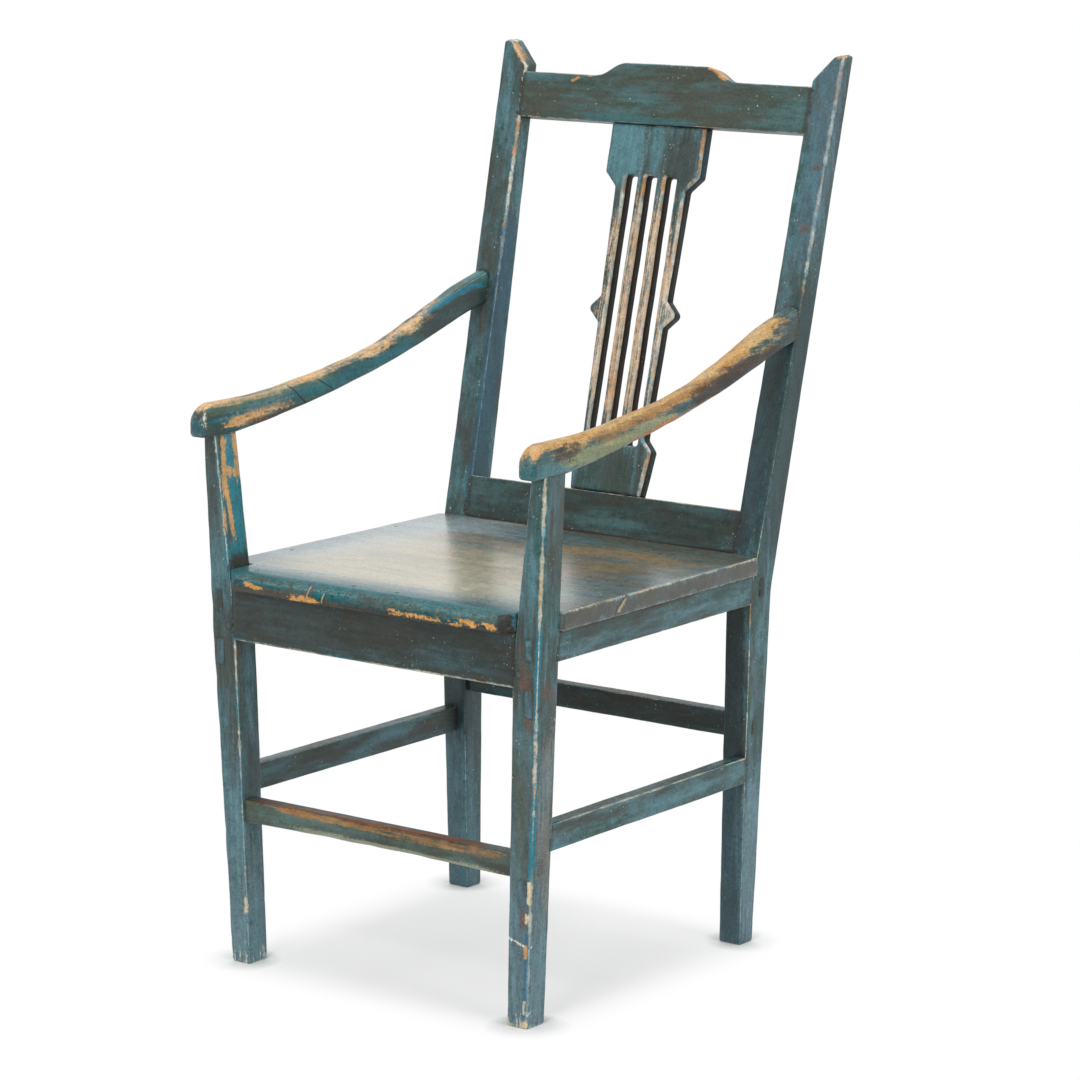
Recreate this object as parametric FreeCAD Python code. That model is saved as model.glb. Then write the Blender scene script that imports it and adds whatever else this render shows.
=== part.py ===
import FreeCAD, Part
import math
import os

# Joined wooden armchair with a plank seat and a pierced splat, in millimetres.
# The front faces -Y, +X is the right side seen from the front, and the floor is at Z 0.
# The origin is the middle of the chair's bounding box, on the floor.

os.makedirs("parts", exist_ok=True)
V = FreeCAD.Vector

# Seat board and the rails under it
seat_height = 455.0
seat_thickness = 21.0
seat_front_overhang = 15.0
seat_side_overhang = 4.5
seat_rear_lap = 12.0
seat_nose_top_radius = 17.5
seat_nose_under_radius = 1.5
seat_corner_cut = 16.0
rail_clear_length = 366.0
front_rail_height = 60.0
front_rail_thickness = 20.0
side_rail_height = 33.0
side_rail_thickness = 20.0
rear_rail_height = 32.0
rear_rail_thickness = 20.0

# Front posts, each a leg and an arm support in one piece that leans outward
front_floor_width = 423.0
front_arm_width = 479.0
front_foot_width = 27.5
front_foot_depth = 31.0
front_post_width = 34.0
front_post_depth = 35.5
front_top_width = 19.0
front_taper_drop = 34.0

# Back posts, each a leg and a raked stile in one piece
back_floor_width = 428.0
back_top_width = 484.0
back_post_height = 1010.0
back_foot_width = 29.5
back_foot_depth = 26.0
back_seat_width = 35.0
back_knee_depth = 40.5
back_top_face_width = 37.5
back_top_depth = 20.5
back_bend_drop = 41.0
back_bend_radius = 120.0
back_rake_angle = 14.1
top_flat_width = 11.0
top_slope_drop = 29.0
top_outer_radius = 4.0
top_crown_radius = 14.0
top_inner_radius = 3.0

# Crest rail, lower back rail and splat, measured along the raked back
crest_reveal = 6.4
crest_end_height = 54.5
crest_centre_rise = 16.5
crest_centre_width = 131.0
crest_shoulder_run = 27.0
crest_shoulder_radius = 36.0
crest_thickness = 19.5
lower_rail_height = 49.2
lower_rail_thickness = 20.0
splat_thickness = 16.0
splat_sideways = -1.0
splat_head_width = 134.0
splat_head_height = 58.0
splat_shoulder_height = 16.5
splat_bar_high_width = 14.15
splat_bar_low_width = 7.5
splat_foot_width = 112.0
splat_foot_end_width = 99.0
splat_foot_height = 54.0
splat_foot_shoulder = 13.0
splat_ear_reach = 16.0
splat_ear_height = 32.0
splat_ear_drop = 219.0
splat_ear_tip_radius = 6.4
splat_ear_root_radius = 2.0
splat_corner_radius = 5.0
slot_width = 16.0
slot_pitch = 28.0
slot_head_margin = 60.0
slot_foot_margin = 58.0
slot_corner_radius = 3.5

# Arms, sawn from plank to a side profile that rises to the back
arm_underside = 602.0
arm_thickness = 22.0
arm_overhang = 22.5
arm_proud = 1.0
arm_front_depth = 37.0
arm_waist_depth = 25.5
arm_rear_depth = 36.5
right_arm_rise = 91.0
left_arm_rise = 99.5
arm_nose_radius = 25.0
arm_nose_under_radius = 5.0
arm_top_round = 7.0

# Share of an arm's rise that its curve has made at each share of its length
arm_curve = ((0.0, 0.0), (0.25, 0.166), (0.5, 0.378), (0.75, 0.674), (1.0, 1.0))

# Stretchers between the legs, lowest in front and highest behind
front_stretcher_level = 165.5
front_stretcher_height = 25.0
front_stretcher_thickness = 22.0
front_stretcher_setback = 1.5
front_stretcher_hollow = 5.0
front_stretcher_square_end = 22.0
side_stretcher_rise = 2.0
side_stretcher_height = 30.0
side_stretcher_thickness = 18.0
rear_stretcher_rise = 20.5
rear_stretcher_height = 29.0
rear_stretcher_thickness = 17.0
rear_stretcher_setback = 6.0

# Joints: tenons, pegs, plugs and nails
tenon_thickness = 9.5
tenon_shoulder = 5.0
tenon_length = 14.0
tenon_web = 1.25
side_tenon_inset = 9.0
front_tenon_inset = 8.0
back_tenon_length = 20.0
splat_tenon_thickness = 7.0
splat_tenon_length = 9.0
splat_tenon_shoulder = 8.0
arm_tenon_length = 15.0
post_tenon_length = 24.0
post_tenon_shoulder = 5.5
fit_gap = 0.15
end_gap = 1.0
notch_gap = 0.4
notch_back_gap = 1.8
peg_diameter = 6.0
peg_gap = 0.05
peg_length = 24.0
front_peg_rise = 16.0
arm_peg_rise = 14.4
nail_diameter = 4.0
nail_length = 38.0
nail_edge_margin = 30.0
plug_width = 10.0
plug_height = 29.5
plug_depth = 10.0
plug_stretcher_gap = 1.0

# Closeness at which two points count as the same
touch = 0.01

# Heights that follow from the sizes above
rail_top = seat_height - seat_thickness
front_rail_bottom = rail_top - front_rail_height
front_taper_height = rail_top - front_taper_drop
back_bend_height = seat_height - back_bend_drop
front_stretcher_top = front_stretcher_level + front_stretcher_height
side_stretcher_level = front_stretcher_top + side_stretcher_rise
side_stretcher_top = side_stretcher_level + side_stretcher_height
rear_stretcher_level = side_stretcher_top + rear_stretcher_rise
rear_stretcher_top = rear_stretcher_level + rear_stretcher_height
rake = math.radians(back_rake_angle)
rake_run = math.tan(rake)


# Distance up the raked back, from its bend, of a point at height z
def up_slope(z):
    return (z - back_bend_height) / math.cos(rake)


crest_low_top = up_slope(back_post_height - top_slope_drop - crest_reveal)
crest_high_top = crest_low_top + crest_centre_rise
crest_bottom = crest_low_top - crest_end_height
lower_rail_top = up_slope(seat_height) + lower_rail_height
splat_ear_level = crest_bottom - splat_ear_drop
splat_recess = crest_thickness - splat_thickness


def between(level, low_level, low_value, high_level, high_value):
    return low_value + (high_value - low_value) * (level - low_level) / (high_level - low_level)


def front_outer(z):
    return between(z, 0.0, front_floor_width / 2, arm_underside, front_arm_width / 2)


def front_inner(z):
    wide = front_outer(front_taper_height) - front_post_width
    if z < front_taper_height:
        return between(z, 0.0, front_outer(0.0) - front_foot_width, front_taper_height, wide)
    return between(z, front_taper_height, wide, arm_underside, front_outer(arm_underside) - front_top_width)


def back_outer(z):
    return between(z, 0.0, back_floor_width / 2, back_post_height, back_top_width / 2)


def back_inner(z):
    wide = back_outer(seat_height) - back_seat_width
    if z < seat_height:
        return between(z, 0.0, back_outer(0.0) - back_foot_width, seat_height, wide)
    top = back_outer(back_post_height) - back_top_face_width
    return between(z, seat_height, wide, back_post_height, top)


# Depths are first counted from the front posts' front face, then centred on the box
top_rake_depth = (back_post_height - back_bend_height) * rake_run
reach_front = -arm_overhang
reach_back = front_post_depth + rail_clear_length + top_rake_depth + back_top_depth
y_front = -(reach_front + reach_back) / 2
y_front_back = y_front + front_post_depth
y_back = y_front_back + rail_clear_length


def raked_face(z):
    return y_back + max(0.0, z - back_bend_height) * rake_run


# Corner points with a radius each are joined by lines and tangent arcs.
# A radius is held back where its sides are too short for it.
def rounded_wire(corners, place):
    count = len(corners)
    starts = []
    ends = []
    edges = []
    for index in range(count):
        a, b, radius = corners[index]
        here = V(a, b, 0)
        if radius == 0.0:
            starts.append(here)
            ends.append(here)
            continue
        before = V(corners[index - 1][0], corners[index - 1][1], 0) - here
        after = V(corners[(index + 1) % count][0], corners[(index + 1) % count][1], 0) - here
        room = min(before.Length, after.Length) * 0.49
        before.normalize()
        after.normalize()
        half = before.getAngle(after) / 2
        reach = min(radius / math.tan(half), room)
        middle = before + after
        middle.normalize()
        crown = here + middle * (reach / math.cos(half) - reach * math.tan(half))
        starts.append(here + before * reach)
        ends.append(here + after * reach)
        edges.append(Part.Arc(place(starts[index]), place(crown), place(ends[index])).toShape())
    for index in range(count):
        following = starts[(index + 1) % count]
        if (following - ends[index]).Length > 1e-6:
            edges.append(Part.LineSegment(place(ends[index]), place(following)).toShape())
    return Part.Wire(Part.__sortEdges__(edges))


def front_view(corners, depth_low, depth_high):
    wire = rounded_wire(corners, lambda p: V(p.x, depth_low, p.y))
    return Part.Face(wire).extrude(V(0, depth_high - depth_low, 0))


def side_view(corners, x_low, x_high):
    wire = rounded_wire(corners, lambda p: V(x_low, p.x, p.y))
    return Part.Face(wire).extrude(V(x_high - x_low, 0, 0))


def plan_view(corners, z_low, z_high):
    wire = rounded_wire(corners, lambda p: V(p.x, p.y, z_low))
    return Part.Face(wire).extrude(V(0, 0, z_high - z_low))


def block(x, y, z):
    return Part.makeBox(x[1] - x[0], y[1] - y[0], z[1] - z[0], V(x[0], y[0], z[0]))


# A tenon, and the mortise that holds it with a gap to each side along X, Y and Z
def tenon_and_mortise(x, y, z, gaps):
    grown = [(low - gap, high + gap) for (low, high), gap in zip((x, y, z), gaps)]
    return block(x, y, z), block(*grown)


# A peg or nail, and the hole that it is driven into
def peg_and_hole(diameter, length, start, direction):
    peg = Part.makeCylinder(diameter / 2, length, start, direction)
    hole = Part.makeCylinder(diameter / 2 + peg_gap, length, start, direction)
    return peg, hole


def onto_back(shape):
    shape = shape.copy()
    shape.rotate(V(0, 0, 0), V(1, 0, 0), -back_rake_angle)
    shape.translate(V(0, y_back, back_bend_height))
    return shape


def main_solid(shape):
    return max(shape.Solids, key=lambda solid: solid.Volume)


def left_of(shape):
    return shape.mirror(V(0, 0, 0), V(1, 0, 0))


def pair(shape):
    return [shape, left_of(shape)]


def write(name, shape):
    shape.exportStep("parts/" + name + ".step")


# Front post for the right side: its front outline crossed with its side outline.
# The same front outline, drawn deeper, gives the rails their shoulders.
foot_inset = front_post_depth - front_foot_depth
front_outline = [
    (front_inner(0.0), 0.0, 0.0),
    (front_outer(0.0), 0.0, 0.0),
    (front_outer(arm_underside), arm_underside, 0.0),
    (front_inner(arm_underside), arm_underside, 0.0),
    (front_inner(front_taper_height), front_taper_height, 0.0),
]
front_side_outline = [
    (y_front + foot_inset, 0.0, 0.0),
    (y_front_back, 0.0, 0.0),
    (y_front_back, arm_underside, 0.0),
    (y_front, arm_underside, 0.0),
    (y_front, front_rail_bottom, 0.0),
]
front_post = front_view(front_outline, y_front, y_front_back)
front_post = main_solid(front_post.common(side_view(front_side_outline, 0.0, front_arm_width)))
front_shoulders = pair(front_view(front_outline, y_front - front_post_depth, y_back))
front_posts = front_post.fuse(left_of(front_post))

# Back post for the right side, with the bend eased and the top sloped inward
top_front = raked_face(back_post_height)
top_back = top_front + back_top_depth
top_slope_end = back_post_height - top_slope_drop
back_outline = [
    (back_inner(0.0), 0.0, 0.0),
    (back_outer(0.0), 0.0, 0.0),
    (back_outer(back_post_height), back_post_height, top_outer_radius),
    (back_outer(back_post_height) - top_flat_width, back_post_height, top_crown_radius),
    (back_inner(top_slope_end), top_slope_end, top_inner_radius),
    (back_inner(seat_height), seat_height, 0.0),
]
back_side_outline = [
    (y_back, 0.0, 0.0),
    (y_back + back_foot_depth, 0.0, 0.0),
    (y_back + back_knee_depth, back_bend_height, back_bend_radius),
    (top_back, back_post_height, 0.0),
    (top_front, back_post_height, 0.0),
    (y_back, back_bend_height, back_bend_radius),
]
back_post = front_view(back_outline, y_back, top_back)
back_post = main_solid(back_post.common(side_view(back_side_outline, 0.0, back_top_width)))
back_shoulders = pair(front_view(back_outline, y_front, top_back + back_knee_depth))
back_posts = back_post.fuse(left_of(back_post))

# Side seat rail for the right side, its outer face running from post face to post face.
# Its front tenon goes right through the post, and its rear tenon is blind.
rail_middle = rail_top - side_rail_height / 2
side_rail_front = front_outer(rail_middle)
side_rail_back = back_outer(rail_middle)
side_rail_heights = (rail_top - side_rail_height + tenon_shoulder, rail_top - tenon_shoulder)
side_rail_corners = [
    (side_rail_front - side_rail_thickness, y_front_back, 0.0),
    (side_rail_front, y_front_back, 0.0),
    (side_rail_back, y_back, 0.0),
    (side_rail_back - side_rail_thickness, y_back, 0.0),
]
side_rail = plan_view(side_rail_corners, rail_top - side_rail_height, rail_top)
through_tenon_out = side_rail_front - side_tenon_inset
through_tenon_in = through_tenon_out - tenon_thickness
blind_tenon_out = side_rail_back - side_tenon_inset
through_tenon, through_mortise = tenon_and_mortise(
    (through_tenon_in, through_tenon_out),
    (y_front, y_front_back),
    side_rail_heights,
    (fit_gap, end_gap, fit_gap),
)
blind_tenon, blind_mortise = tenon_and_mortise(
    (blind_tenon_out - tenon_thickness, blind_tenon_out),
    (y_back, y_back + tenon_length),
    side_rail_heights,
    (fit_gap, end_gap, fit_gap),
)
side_rail = side_rail.fuse([through_tenon, blind_tenon]).removeSplitter()

# Front seat rail, deep and shouldered on the posts, its tenons stopping short of the side rails'
front_rail = block(
    (-front_arm_width / 2, front_arm_width / 2),
    (y_front, y_front + front_rail_thickness),
    (front_rail_bottom, rail_top),
)
front_rail = main_solid(front_rail.cut(front_shoulders))
front_tenon_end = through_tenon_in - fit_gap - end_gap - tenon_web
front_tenon_low = y_front + front_tenon_inset
front_rail_tenon, front_rail_mortise = tenon_and_mortise(
    (-front_tenon_end, front_tenon_end),
    (front_tenon_low, front_tenon_low + tenon_thickness),
    (front_rail_bottom + tenon_shoulder, rail_top - tenon_shoulder),
    (end_gap, fit_gap, fit_gap),
)
front_rail = front_rail.fuse(front_rail_tenon).removeSplitter()

# Pegs through the front rail's tenons, driven in from the posts' front faces
front_peg_x = (front_inner(rail_middle) + front_tenon_end) / 2
front_peg_start = V(front_peg_x, y_front, front_rail_bottom + front_peg_rise)
front_peg, front_peg_hole = peg_and_hole(peg_diameter, peg_length, front_peg_start, V(0, 1, 0))
front_rail = front_rail.cut(pair(front_peg_hole))

# Rear seat rail, behind the side rails' tenons, its own showing on the posts' outer sides
rear_tenon_low = y_back + tenon_length + end_gap + tenon_web
rear_rail_low = rear_tenon_low - (rear_rail_thickness - tenon_thickness) / 2
rear_rail = block(
    (-back_top_width / 2, back_top_width / 2),
    (rear_rail_low, rear_rail_low + rear_rail_thickness),
    (rail_top - rear_rail_height, rail_top),
)
rear_rail = main_solid(rear_rail.cut(back_shoulders))
rear_rail_tenon, rear_rail_mortise = tenon_and_mortise(
    (-back_top_width / 2, back_top_width / 2),
    (rear_tenon_low, rear_tenon_low + tenon_thickness),
    (rail_top - rear_rail_height + tenon_shoulder, rail_top - tenon_shoulder),
    (end_gap, fit_gap, fit_gap),
)
rear_rail = rear_rail.fuse(rear_rail_tenon.common(back_posts)).removeSplitter()

# Front stretcher, hollowed along both front edges between its square ends
front_stretcher_low = y_front + foot_inset + front_stretcher_setback
front_stretcher = block(
    (-front_arm_width / 2, front_arm_width / 2),
    (front_stretcher_low, front_stretcher_low + front_stretcher_thickness),
    (front_stretcher_level, front_stretcher_top),
)
hollow_half = front_inner(front_stretcher_level) - front_stretcher_square_end
hollow_radius = (hollow_half ** 2 + front_stretcher_hollow ** 2) / (2 * front_stretcher_hollow)
for edge_level, lean in ((front_stretcher_top, 1.0), (front_stretcher_level, -1.0)):
    outward = V(0, -1, lean).normalize()
    along = V(0, 1, lean).normalize()
    centre = V(0, front_stretcher_low, edge_level) + outward * (hollow_radius - front_stretcher_hollow)
    hollow_start = centre - along * (front_stretcher_height / 2)
    hollow = Part.makeCylinder(hollow_radius, front_stretcher_height, hollow_start, along)
    front_stretcher = front_stretcher.cut(hollow)
front_stretcher = main_solid(front_stretcher.cut(front_shoulders))
stretcher_tenon_low = front_stretcher_low + (front_stretcher_thickness - tenon_thickness) / 2
front_stretcher_tenon, front_stretcher_mortise = tenon_and_mortise(
    (-front_arm_width / 2, front_arm_width / 2),
    (stretcher_tenon_low, stretcher_tenon_low + tenon_thickness),
    (front_stretcher_level + tenon_shoulder, front_stretcher_top - tenon_shoulder),
    (end_gap, fit_gap, fit_gap),
)
front_stretcher = front_stretcher.fuse(front_stretcher_tenon.common(front_posts)).removeSplitter()

# Side stretcher for the right side, blind at both ends
side_stretcher_middle = side_stretcher_level + side_stretcher_height / 2
side_stretcher_heights = (side_stretcher_level + tenon_shoulder, side_stretcher_top - tenon_shoulder)
stretcher_front = front_outer(side_stretcher_middle)
stretcher_back = back_outer(side_stretcher_middle)
side_stretcher_corners = [
    (stretcher_front - side_stretcher_thickness, y_front_back, 0.0),
    (stretcher_front, y_front_back, 0.0),
    (stretcher_back, y_back, 0.0),
    (stretcher_back - side_stretcher_thickness, y_back, 0.0),
]
side_stretcher = plan_view(side_stretcher_corners, side_stretcher_level, side_stretcher_top)
front_leg_middle = stretcher_front - side_stretcher_thickness / 2
back_leg_middle = stretcher_back - side_stretcher_thickness / 2
front_leg_tenon, front_leg_mortise = tenon_and_mortise(
    (front_leg_middle - tenon_thickness / 2, front_leg_middle + tenon_thickness / 2),
    (y_front_back - tenon_length, y_front_back),
    side_stretcher_heights,
    (fit_gap, end_gap, fit_gap),
)
back_leg_tenon, back_leg_mortise = tenon_and_mortise(
    (back_leg_middle - tenon_thickness / 2, back_leg_middle + tenon_thickness / 2),
    (y_back, y_back + tenon_length),
    side_stretcher_heights,
    (fit_gap, end_gap, fit_gap),
)
side_stretcher = side_stretcher.fuse([front_leg_tenon, back_leg_tenon]).removeSplitter()

# Pegs driven in from the front posts' front faces into the side stretchers' tenons
leg_peg_start = V(front_leg_middle, y_front_back - tenon_length / 2, side_stretcher_heights[0] + peg_diameter)
leg_peg, leg_peg_hole = peg_and_hole(peg_diameter, front_post_depth, leg_peg_start, V(0, -1, 0))
leg_peg = main_solid(leg_peg.common(front_post))
side_stretcher = side_stretcher.cut(leg_peg_hole)

# Rear stretcher, its tenons showing on the back legs' outer sides
rear_stretcher_low = y_back + rear_stretcher_setback
rear_stretcher = block(
    (-back_top_width / 2, back_top_width / 2),
    (rear_stretcher_low, rear_stretcher_low + rear_stretcher_thickness),
    (rear_stretcher_level, rear_stretcher_top),
)
rear_stretcher = main_solid(rear_stretcher.cut(back_shoulders))
back_through_low = rear_stretcher_low + (rear_stretcher_thickness - tenon_thickness) / 2
rear_stretcher_tenon, rear_stretcher_mortise = tenon_and_mortise(
    (-back_top_width / 2, back_top_width / 2),
    (back_through_low, back_through_low + tenon_thickness),
    (rear_stretcher_level + tenon_shoulder, rear_stretcher_top - tenon_shoulder),
    (end_gap, fit_gap, fit_gap),
)
rear_stretcher = rear_stretcher.fuse(rear_stretcher_tenon.common(back_posts)).removeSplitter()

# Tenon on top of the front post, let up into the arm and pegged from the arm's inner side
post_tenon, post_mortise = tenon_and_mortise(
    (front_inner(arm_underside) + post_tenon_shoulder, front_outer(arm_underside) - post_tenon_shoulder),
    (y_front + post_tenon_shoulder, y_front_back - post_tenon_shoulder),
    (arm_underside, arm_underside + post_tenon_length),
    (fit_gap, fit_gap, end_gap),
)
arm_peg_start = V(0, y_front + front_post_depth / 2, arm_underside + arm_peg_rise)
arm_peg_reach = front_outer(arm_underside) - post_tenon_shoulder / 2
arm_peg_bar, arm_peg_hole = peg_and_hole(peg_diameter, arm_peg_reach, arm_peg_start, V(1, 0, 0))
front_post = front_post.fuse(post_tenon).cut(arm_peg_hole)


# Arm as on the right side: a plank sawn to a rising curve and rounded along its top.
# The two arms climb by different amounts, so each one is drawn for its own rise.
def make_arm(rise):
    length = raked_face(arm_underside + rise) - y_front_back
    end_middle = arm_underside + rise + arm_rear_depth / 2
    end = raked_face(end_middle + arm_rear_depth) + back_top_depth / 2
    depths = [
        arm_front_depth,
        (2 * arm_waist_depth + arm_front_depth) / 3,
        arm_waist_depth,
        (arm_waist_depth + arm_rear_depth) / 2,
        arm_rear_depth,
    ]
    under_points = []
    top_points = []
    for (share, rise_share), depth in zip(arm_curve, depths):
        under = V(0, y_front_back + share * length, arm_underside + rise_share * rise)
        under_points.append(under)
        top_points.insert(0, under + V(0, 0, depth))
    end_slope = rise / length
    under_curve = Part.BSplineCurve()
    under_curve.interpolate(
        Points=under_points,
        InitialTangent=V(0, 1, end_slope / 2),
        FinalTangent=V(0, 1, end_slope),
    )
    top_curve = Part.BSplineCurve()
    top_curve.interpolate(
        Points=top_points,
        InitialTangent=V(0, -1, -end_slope),
        FinalTangent=V(0, -1, 0),
    )
    tip = y_front - arm_overhang
    top = arm_underside + arm_front_depth
    nose_step = arm_nose_radius * (1 - math.sqrt(0.5))
    heel_step = arm_nose_under_radius * (1 - math.sqrt(0.5))
    nose_high = V(0, tip + arm_nose_radius, top)
    nose_crown = V(0, tip + nose_step, top - nose_step)
    nose_out = V(0, tip, top - arm_nose_radius)
    heel_out = V(0, tip, arm_underside + arm_nose_under_radius)
    heel_crown = V(0, tip + heel_step, arm_underside + heel_step)
    heel_low = V(0, tip + arm_nose_under_radius, arm_underside)
    under_end = under_points[-1] + V(0, 1, end_slope) * (end - under_points[-1].y)
    top_end = top_points[0] + V(0, 1, end_slope) * (end - top_points[0].y)
    outline = Part.Wire(
        [
            Part.LineSegment(heel_low, under_points[0]).toShape(),
            under_curve.toShape(),
            Part.LineSegment(under_points[-1], under_end).toShape(),
            Part.LineSegment(under_end, top_end).toShape(),
            Part.LineSegment(top_end, top_points[0]).toShape(),
            top_curve.toShape(),
            Part.LineSegment(top_points[-1], nose_high).toShape(),
            Part.Arc(nose_high, nose_crown, nose_out).toShape(),
            Part.LineSegment(nose_out, heel_out).toShape(),
            Part.Arc(heel_out, heel_crown, heel_low).toShape(),
        ]
    )
    arm = Part.Face(outline).extrude(V(-arm_thickness, 0, 0))
    upper_ends = [nose_high, nose_out, top_points[-1], top_points[0], top_end]
    round_edges = []
    for edge in arm.Edges:
        corners = [V(0, vertex.Point.y, vertex.Point.z) for vertex in edge.Vertexes]
        on_top = all(any(corner.isEqual(known, touch) for known in upper_ends) for corner in corners)
        if on_top and edge.BoundBox.XLength < touch:
            round_edges.append(edge)
    arm = arm.makeFillet(arm_top_round, round_edges)
    outer = front_arm_width / 2 + arm_proud
    turn = math.atan2(outer - back_outer(end_middle), length + front_post_depth)
    arm.translate(V(0, -y_front, 0))
    arm.rotate(V(0, 0, 0), V(0, 0, 1), math.degrees(turn))
    arm.translate(V(outer, y_front, 0))
    arm = main_solid(arm.cut(back_post))

    # Its rear tenon, let into the back post and pegged from that post's inner side
    face = raked_face(end_middle)
    middle = back_outer(end_middle) - arm_thickness / 2
    tenon, mortise = tenon_and_mortise(
        (middle - tenon_thickness / 2, middle + tenon_thickness / 2),
        (face - arm_tenon_length, face + arm_tenon_length),
        (end_middle - arm_rear_depth / 2 + tenon_shoulder, end_middle + arm_rear_depth / 2 - tenon_shoulder),
        (fit_gap, end_gap, fit_gap),
    )
    arm = arm.fuse(tenon)
    front_peg = main_solid(arm_peg_bar.common(arm))
    peg_start = V(0, face + arm_tenon_length / 2, end_middle)
    rear_peg, rear_hole = peg_and_hole(peg_diameter, middle + tenon_thickness, peg_start, V(1, 0, 0))
    rear_peg = main_solid(rear_peg.common(back_post))
    arm = main_solid(arm.cut([post_mortise, arm_peg_hole, rear_hole]))
    return arm, front_peg, rear_peg, [mortise, rear_hole]


right_arm, right_arm_peg, right_rear_peg, right_arm_cuts = make_arm(right_arm_rise)
left_arm, left_arm_peg, left_rear_peg, left_arm_cuts = make_arm(left_arm_rise)

# Crest rail, raised in the middle between two eased shoulders
crest_half = back_top_width / 2
centre_half = crest_centre_width / 2
shoulder_half = centre_half + crest_shoulder_run
crest_side = [
    (crest_half, crest_bottom, 0.0),
    (crest_half, crest_low_top, 0.0),
    (shoulder_half, crest_low_top, crest_shoulder_radius),
    (centre_half, crest_high_top, crest_shoulder_radius),
]
crest_other_side = [(-x, v, radius) for x, v, radius in reversed(crest_side)]
crest_rail = onto_back(front_view(crest_side + crest_other_side, 0.0, crest_thickness))
crest_rail = main_solid(crest_rail.cut(back_shoulders))
crest_tenon_end = back_inner(back_bend_height + crest_bottom * math.cos(rake)) + back_tenon_length
crest_tenon_low = (crest_thickness - tenon_thickness) / 2
crest_tenon, crest_mortise = tenon_and_mortise(
    (-crest_tenon_end, crest_tenon_end),
    (crest_tenon_low, crest_tenon_low + tenon_thickness),
    (crest_bottom + tenon_shoulder, crest_low_top - tenon_shoulder),
    (end_gap, fit_gap, fit_gap),
)
crest_rail = crest_rail.fuse(onto_back(crest_tenon)).removeSplitter()

# Lower back rail, standing on the seat between the posts
lower_rail_bottom = up_slope(seat_height)
lower_rail = block(
    (-back_top_width / 2, back_top_width / 2),
    (0.0, lower_rail_thickness),
    (lower_rail_bottom - lower_rail_thickness, lower_rail_top),
)
under_seat_top = block((-back_top_width, back_top_width), (y_front, top_back), (0.0, seat_height))
lower_rail = main_solid(onto_back(lower_rail).cut(back_shoulders + [under_seat_top]))
lower_tenon_end = back_inner(seat_height) + back_tenon_length
lower_tenon_low = (lower_rail_thickness - tenon_thickness) / 2
lower_tenon, lower_mortise = tenon_and_mortise(
    (-lower_tenon_end, lower_tenon_end),
    (lower_tenon_low, lower_tenon_low + tenon_thickness),
    (lower_rail_bottom + 2 * tenon_shoulder, lower_rail_top - tenon_shoulder),
    (end_gap, fit_gap, fit_gap),
)
lower_rail = lower_rail.fuse(onto_back(lower_tenon)).removeSplitter()

# Splat: a head, four bars between three slots with an ear on each side, and a foot
head_half = splat_head_width / 2
slots_half = slot_pitch + slot_width / 2
upper_half = slots_half + splat_bar_high_width
lower_half = slots_half + splat_bar_low_width
foot_half = splat_foot_width / 2
foot_end_half = splat_foot_end_width / 2
head_low = crest_bottom - splat_head_height
bars_high = head_low - splat_shoulder_height
foot_high = lower_rail_top + splat_foot_height
bars_low = foot_high + splat_foot_shoulder


def bar_edge(level):
    return between(level, bars_low, lower_half, bars_high, upper_half)


ear_high = splat_ear_level + splat_ear_height / 2
ear_low = splat_ear_level - splat_ear_height / 2
ear_tip = bar_edge(splat_ear_level) + splat_ear_reach
splat_side = [
    (foot_end_half, lower_rail_top, 0.0),
    (foot_half, foot_high, splat_corner_radius),
    (lower_half, bars_low, splat_corner_radius),
    (bar_edge(ear_low), ear_low, splat_ear_root_radius),
    (ear_tip, splat_ear_level, splat_ear_tip_radius),
    (bar_edge(ear_high), ear_high, splat_ear_root_radius),
    (upper_half, bars_high, splat_corner_radius),
    (head_half, head_low, splat_corner_radius),
    (head_half, crest_bottom, 0.0),
]
splat_other_side = [(-x, v, radius) for x, v, radius in reversed(splat_side)]
splat_back = splat_recess + splat_thickness
splat = front_view(splat_side + splat_other_side, splat_recess, splat_back)
slot_high = crest_bottom - slot_head_margin
slot_low = lower_rail_top + slot_foot_margin
for step in (-1, 0, 1):
    slot_left = step * slot_pitch - slot_width / 2
    slot_right = slot_left + slot_width
    slot_corners = [
        (slot_left, slot_low, slot_corner_radius),
        (slot_right, slot_low, slot_corner_radius),
        (slot_right, slot_high, slot_corner_radius),
        (slot_left, slot_high, slot_corner_radius),
    ]
    splat = splat.cut(front_view(slot_corners, splat_recess, splat_back))
splat_tenon_low = splat_recess + (splat_thickness - splat_tenon_thickness) / 2
splat_tenon_depths = (splat_tenon_low, splat_tenon_low + splat_tenon_thickness)
head_tenon_half = head_half - splat_tenon_shoulder
foot_tenon_half = foot_end_half - splat_tenon_shoulder
head_tenon, head_groove = tenon_and_mortise(
    (-head_tenon_half, head_tenon_half),
    splat_tenon_depths,
    (crest_bottom, crest_bottom + splat_tenon_length),
    (fit_gap, fit_gap, end_gap),
)
foot_tenon, foot_groove = tenon_and_mortise(
    (-foot_tenon_half, foot_tenon_half),
    splat_tenon_depths,
    (lower_rail_top - splat_tenon_length, lower_rail_top),
    (fit_gap, fit_gap, end_gap),
)
splat = splat.fuse([head_tenon, foot_tenon]).removeSplitter()
for piece in (splat, head_groove, foot_groove):
    piece.translate(V(splat_sideways, 0, 0))
splat = onto_back(splat)
crest_rail = crest_rail.cut(onto_back(head_groove))
lower_rail = lower_rail.cut(onto_back(foot_groove))

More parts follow.
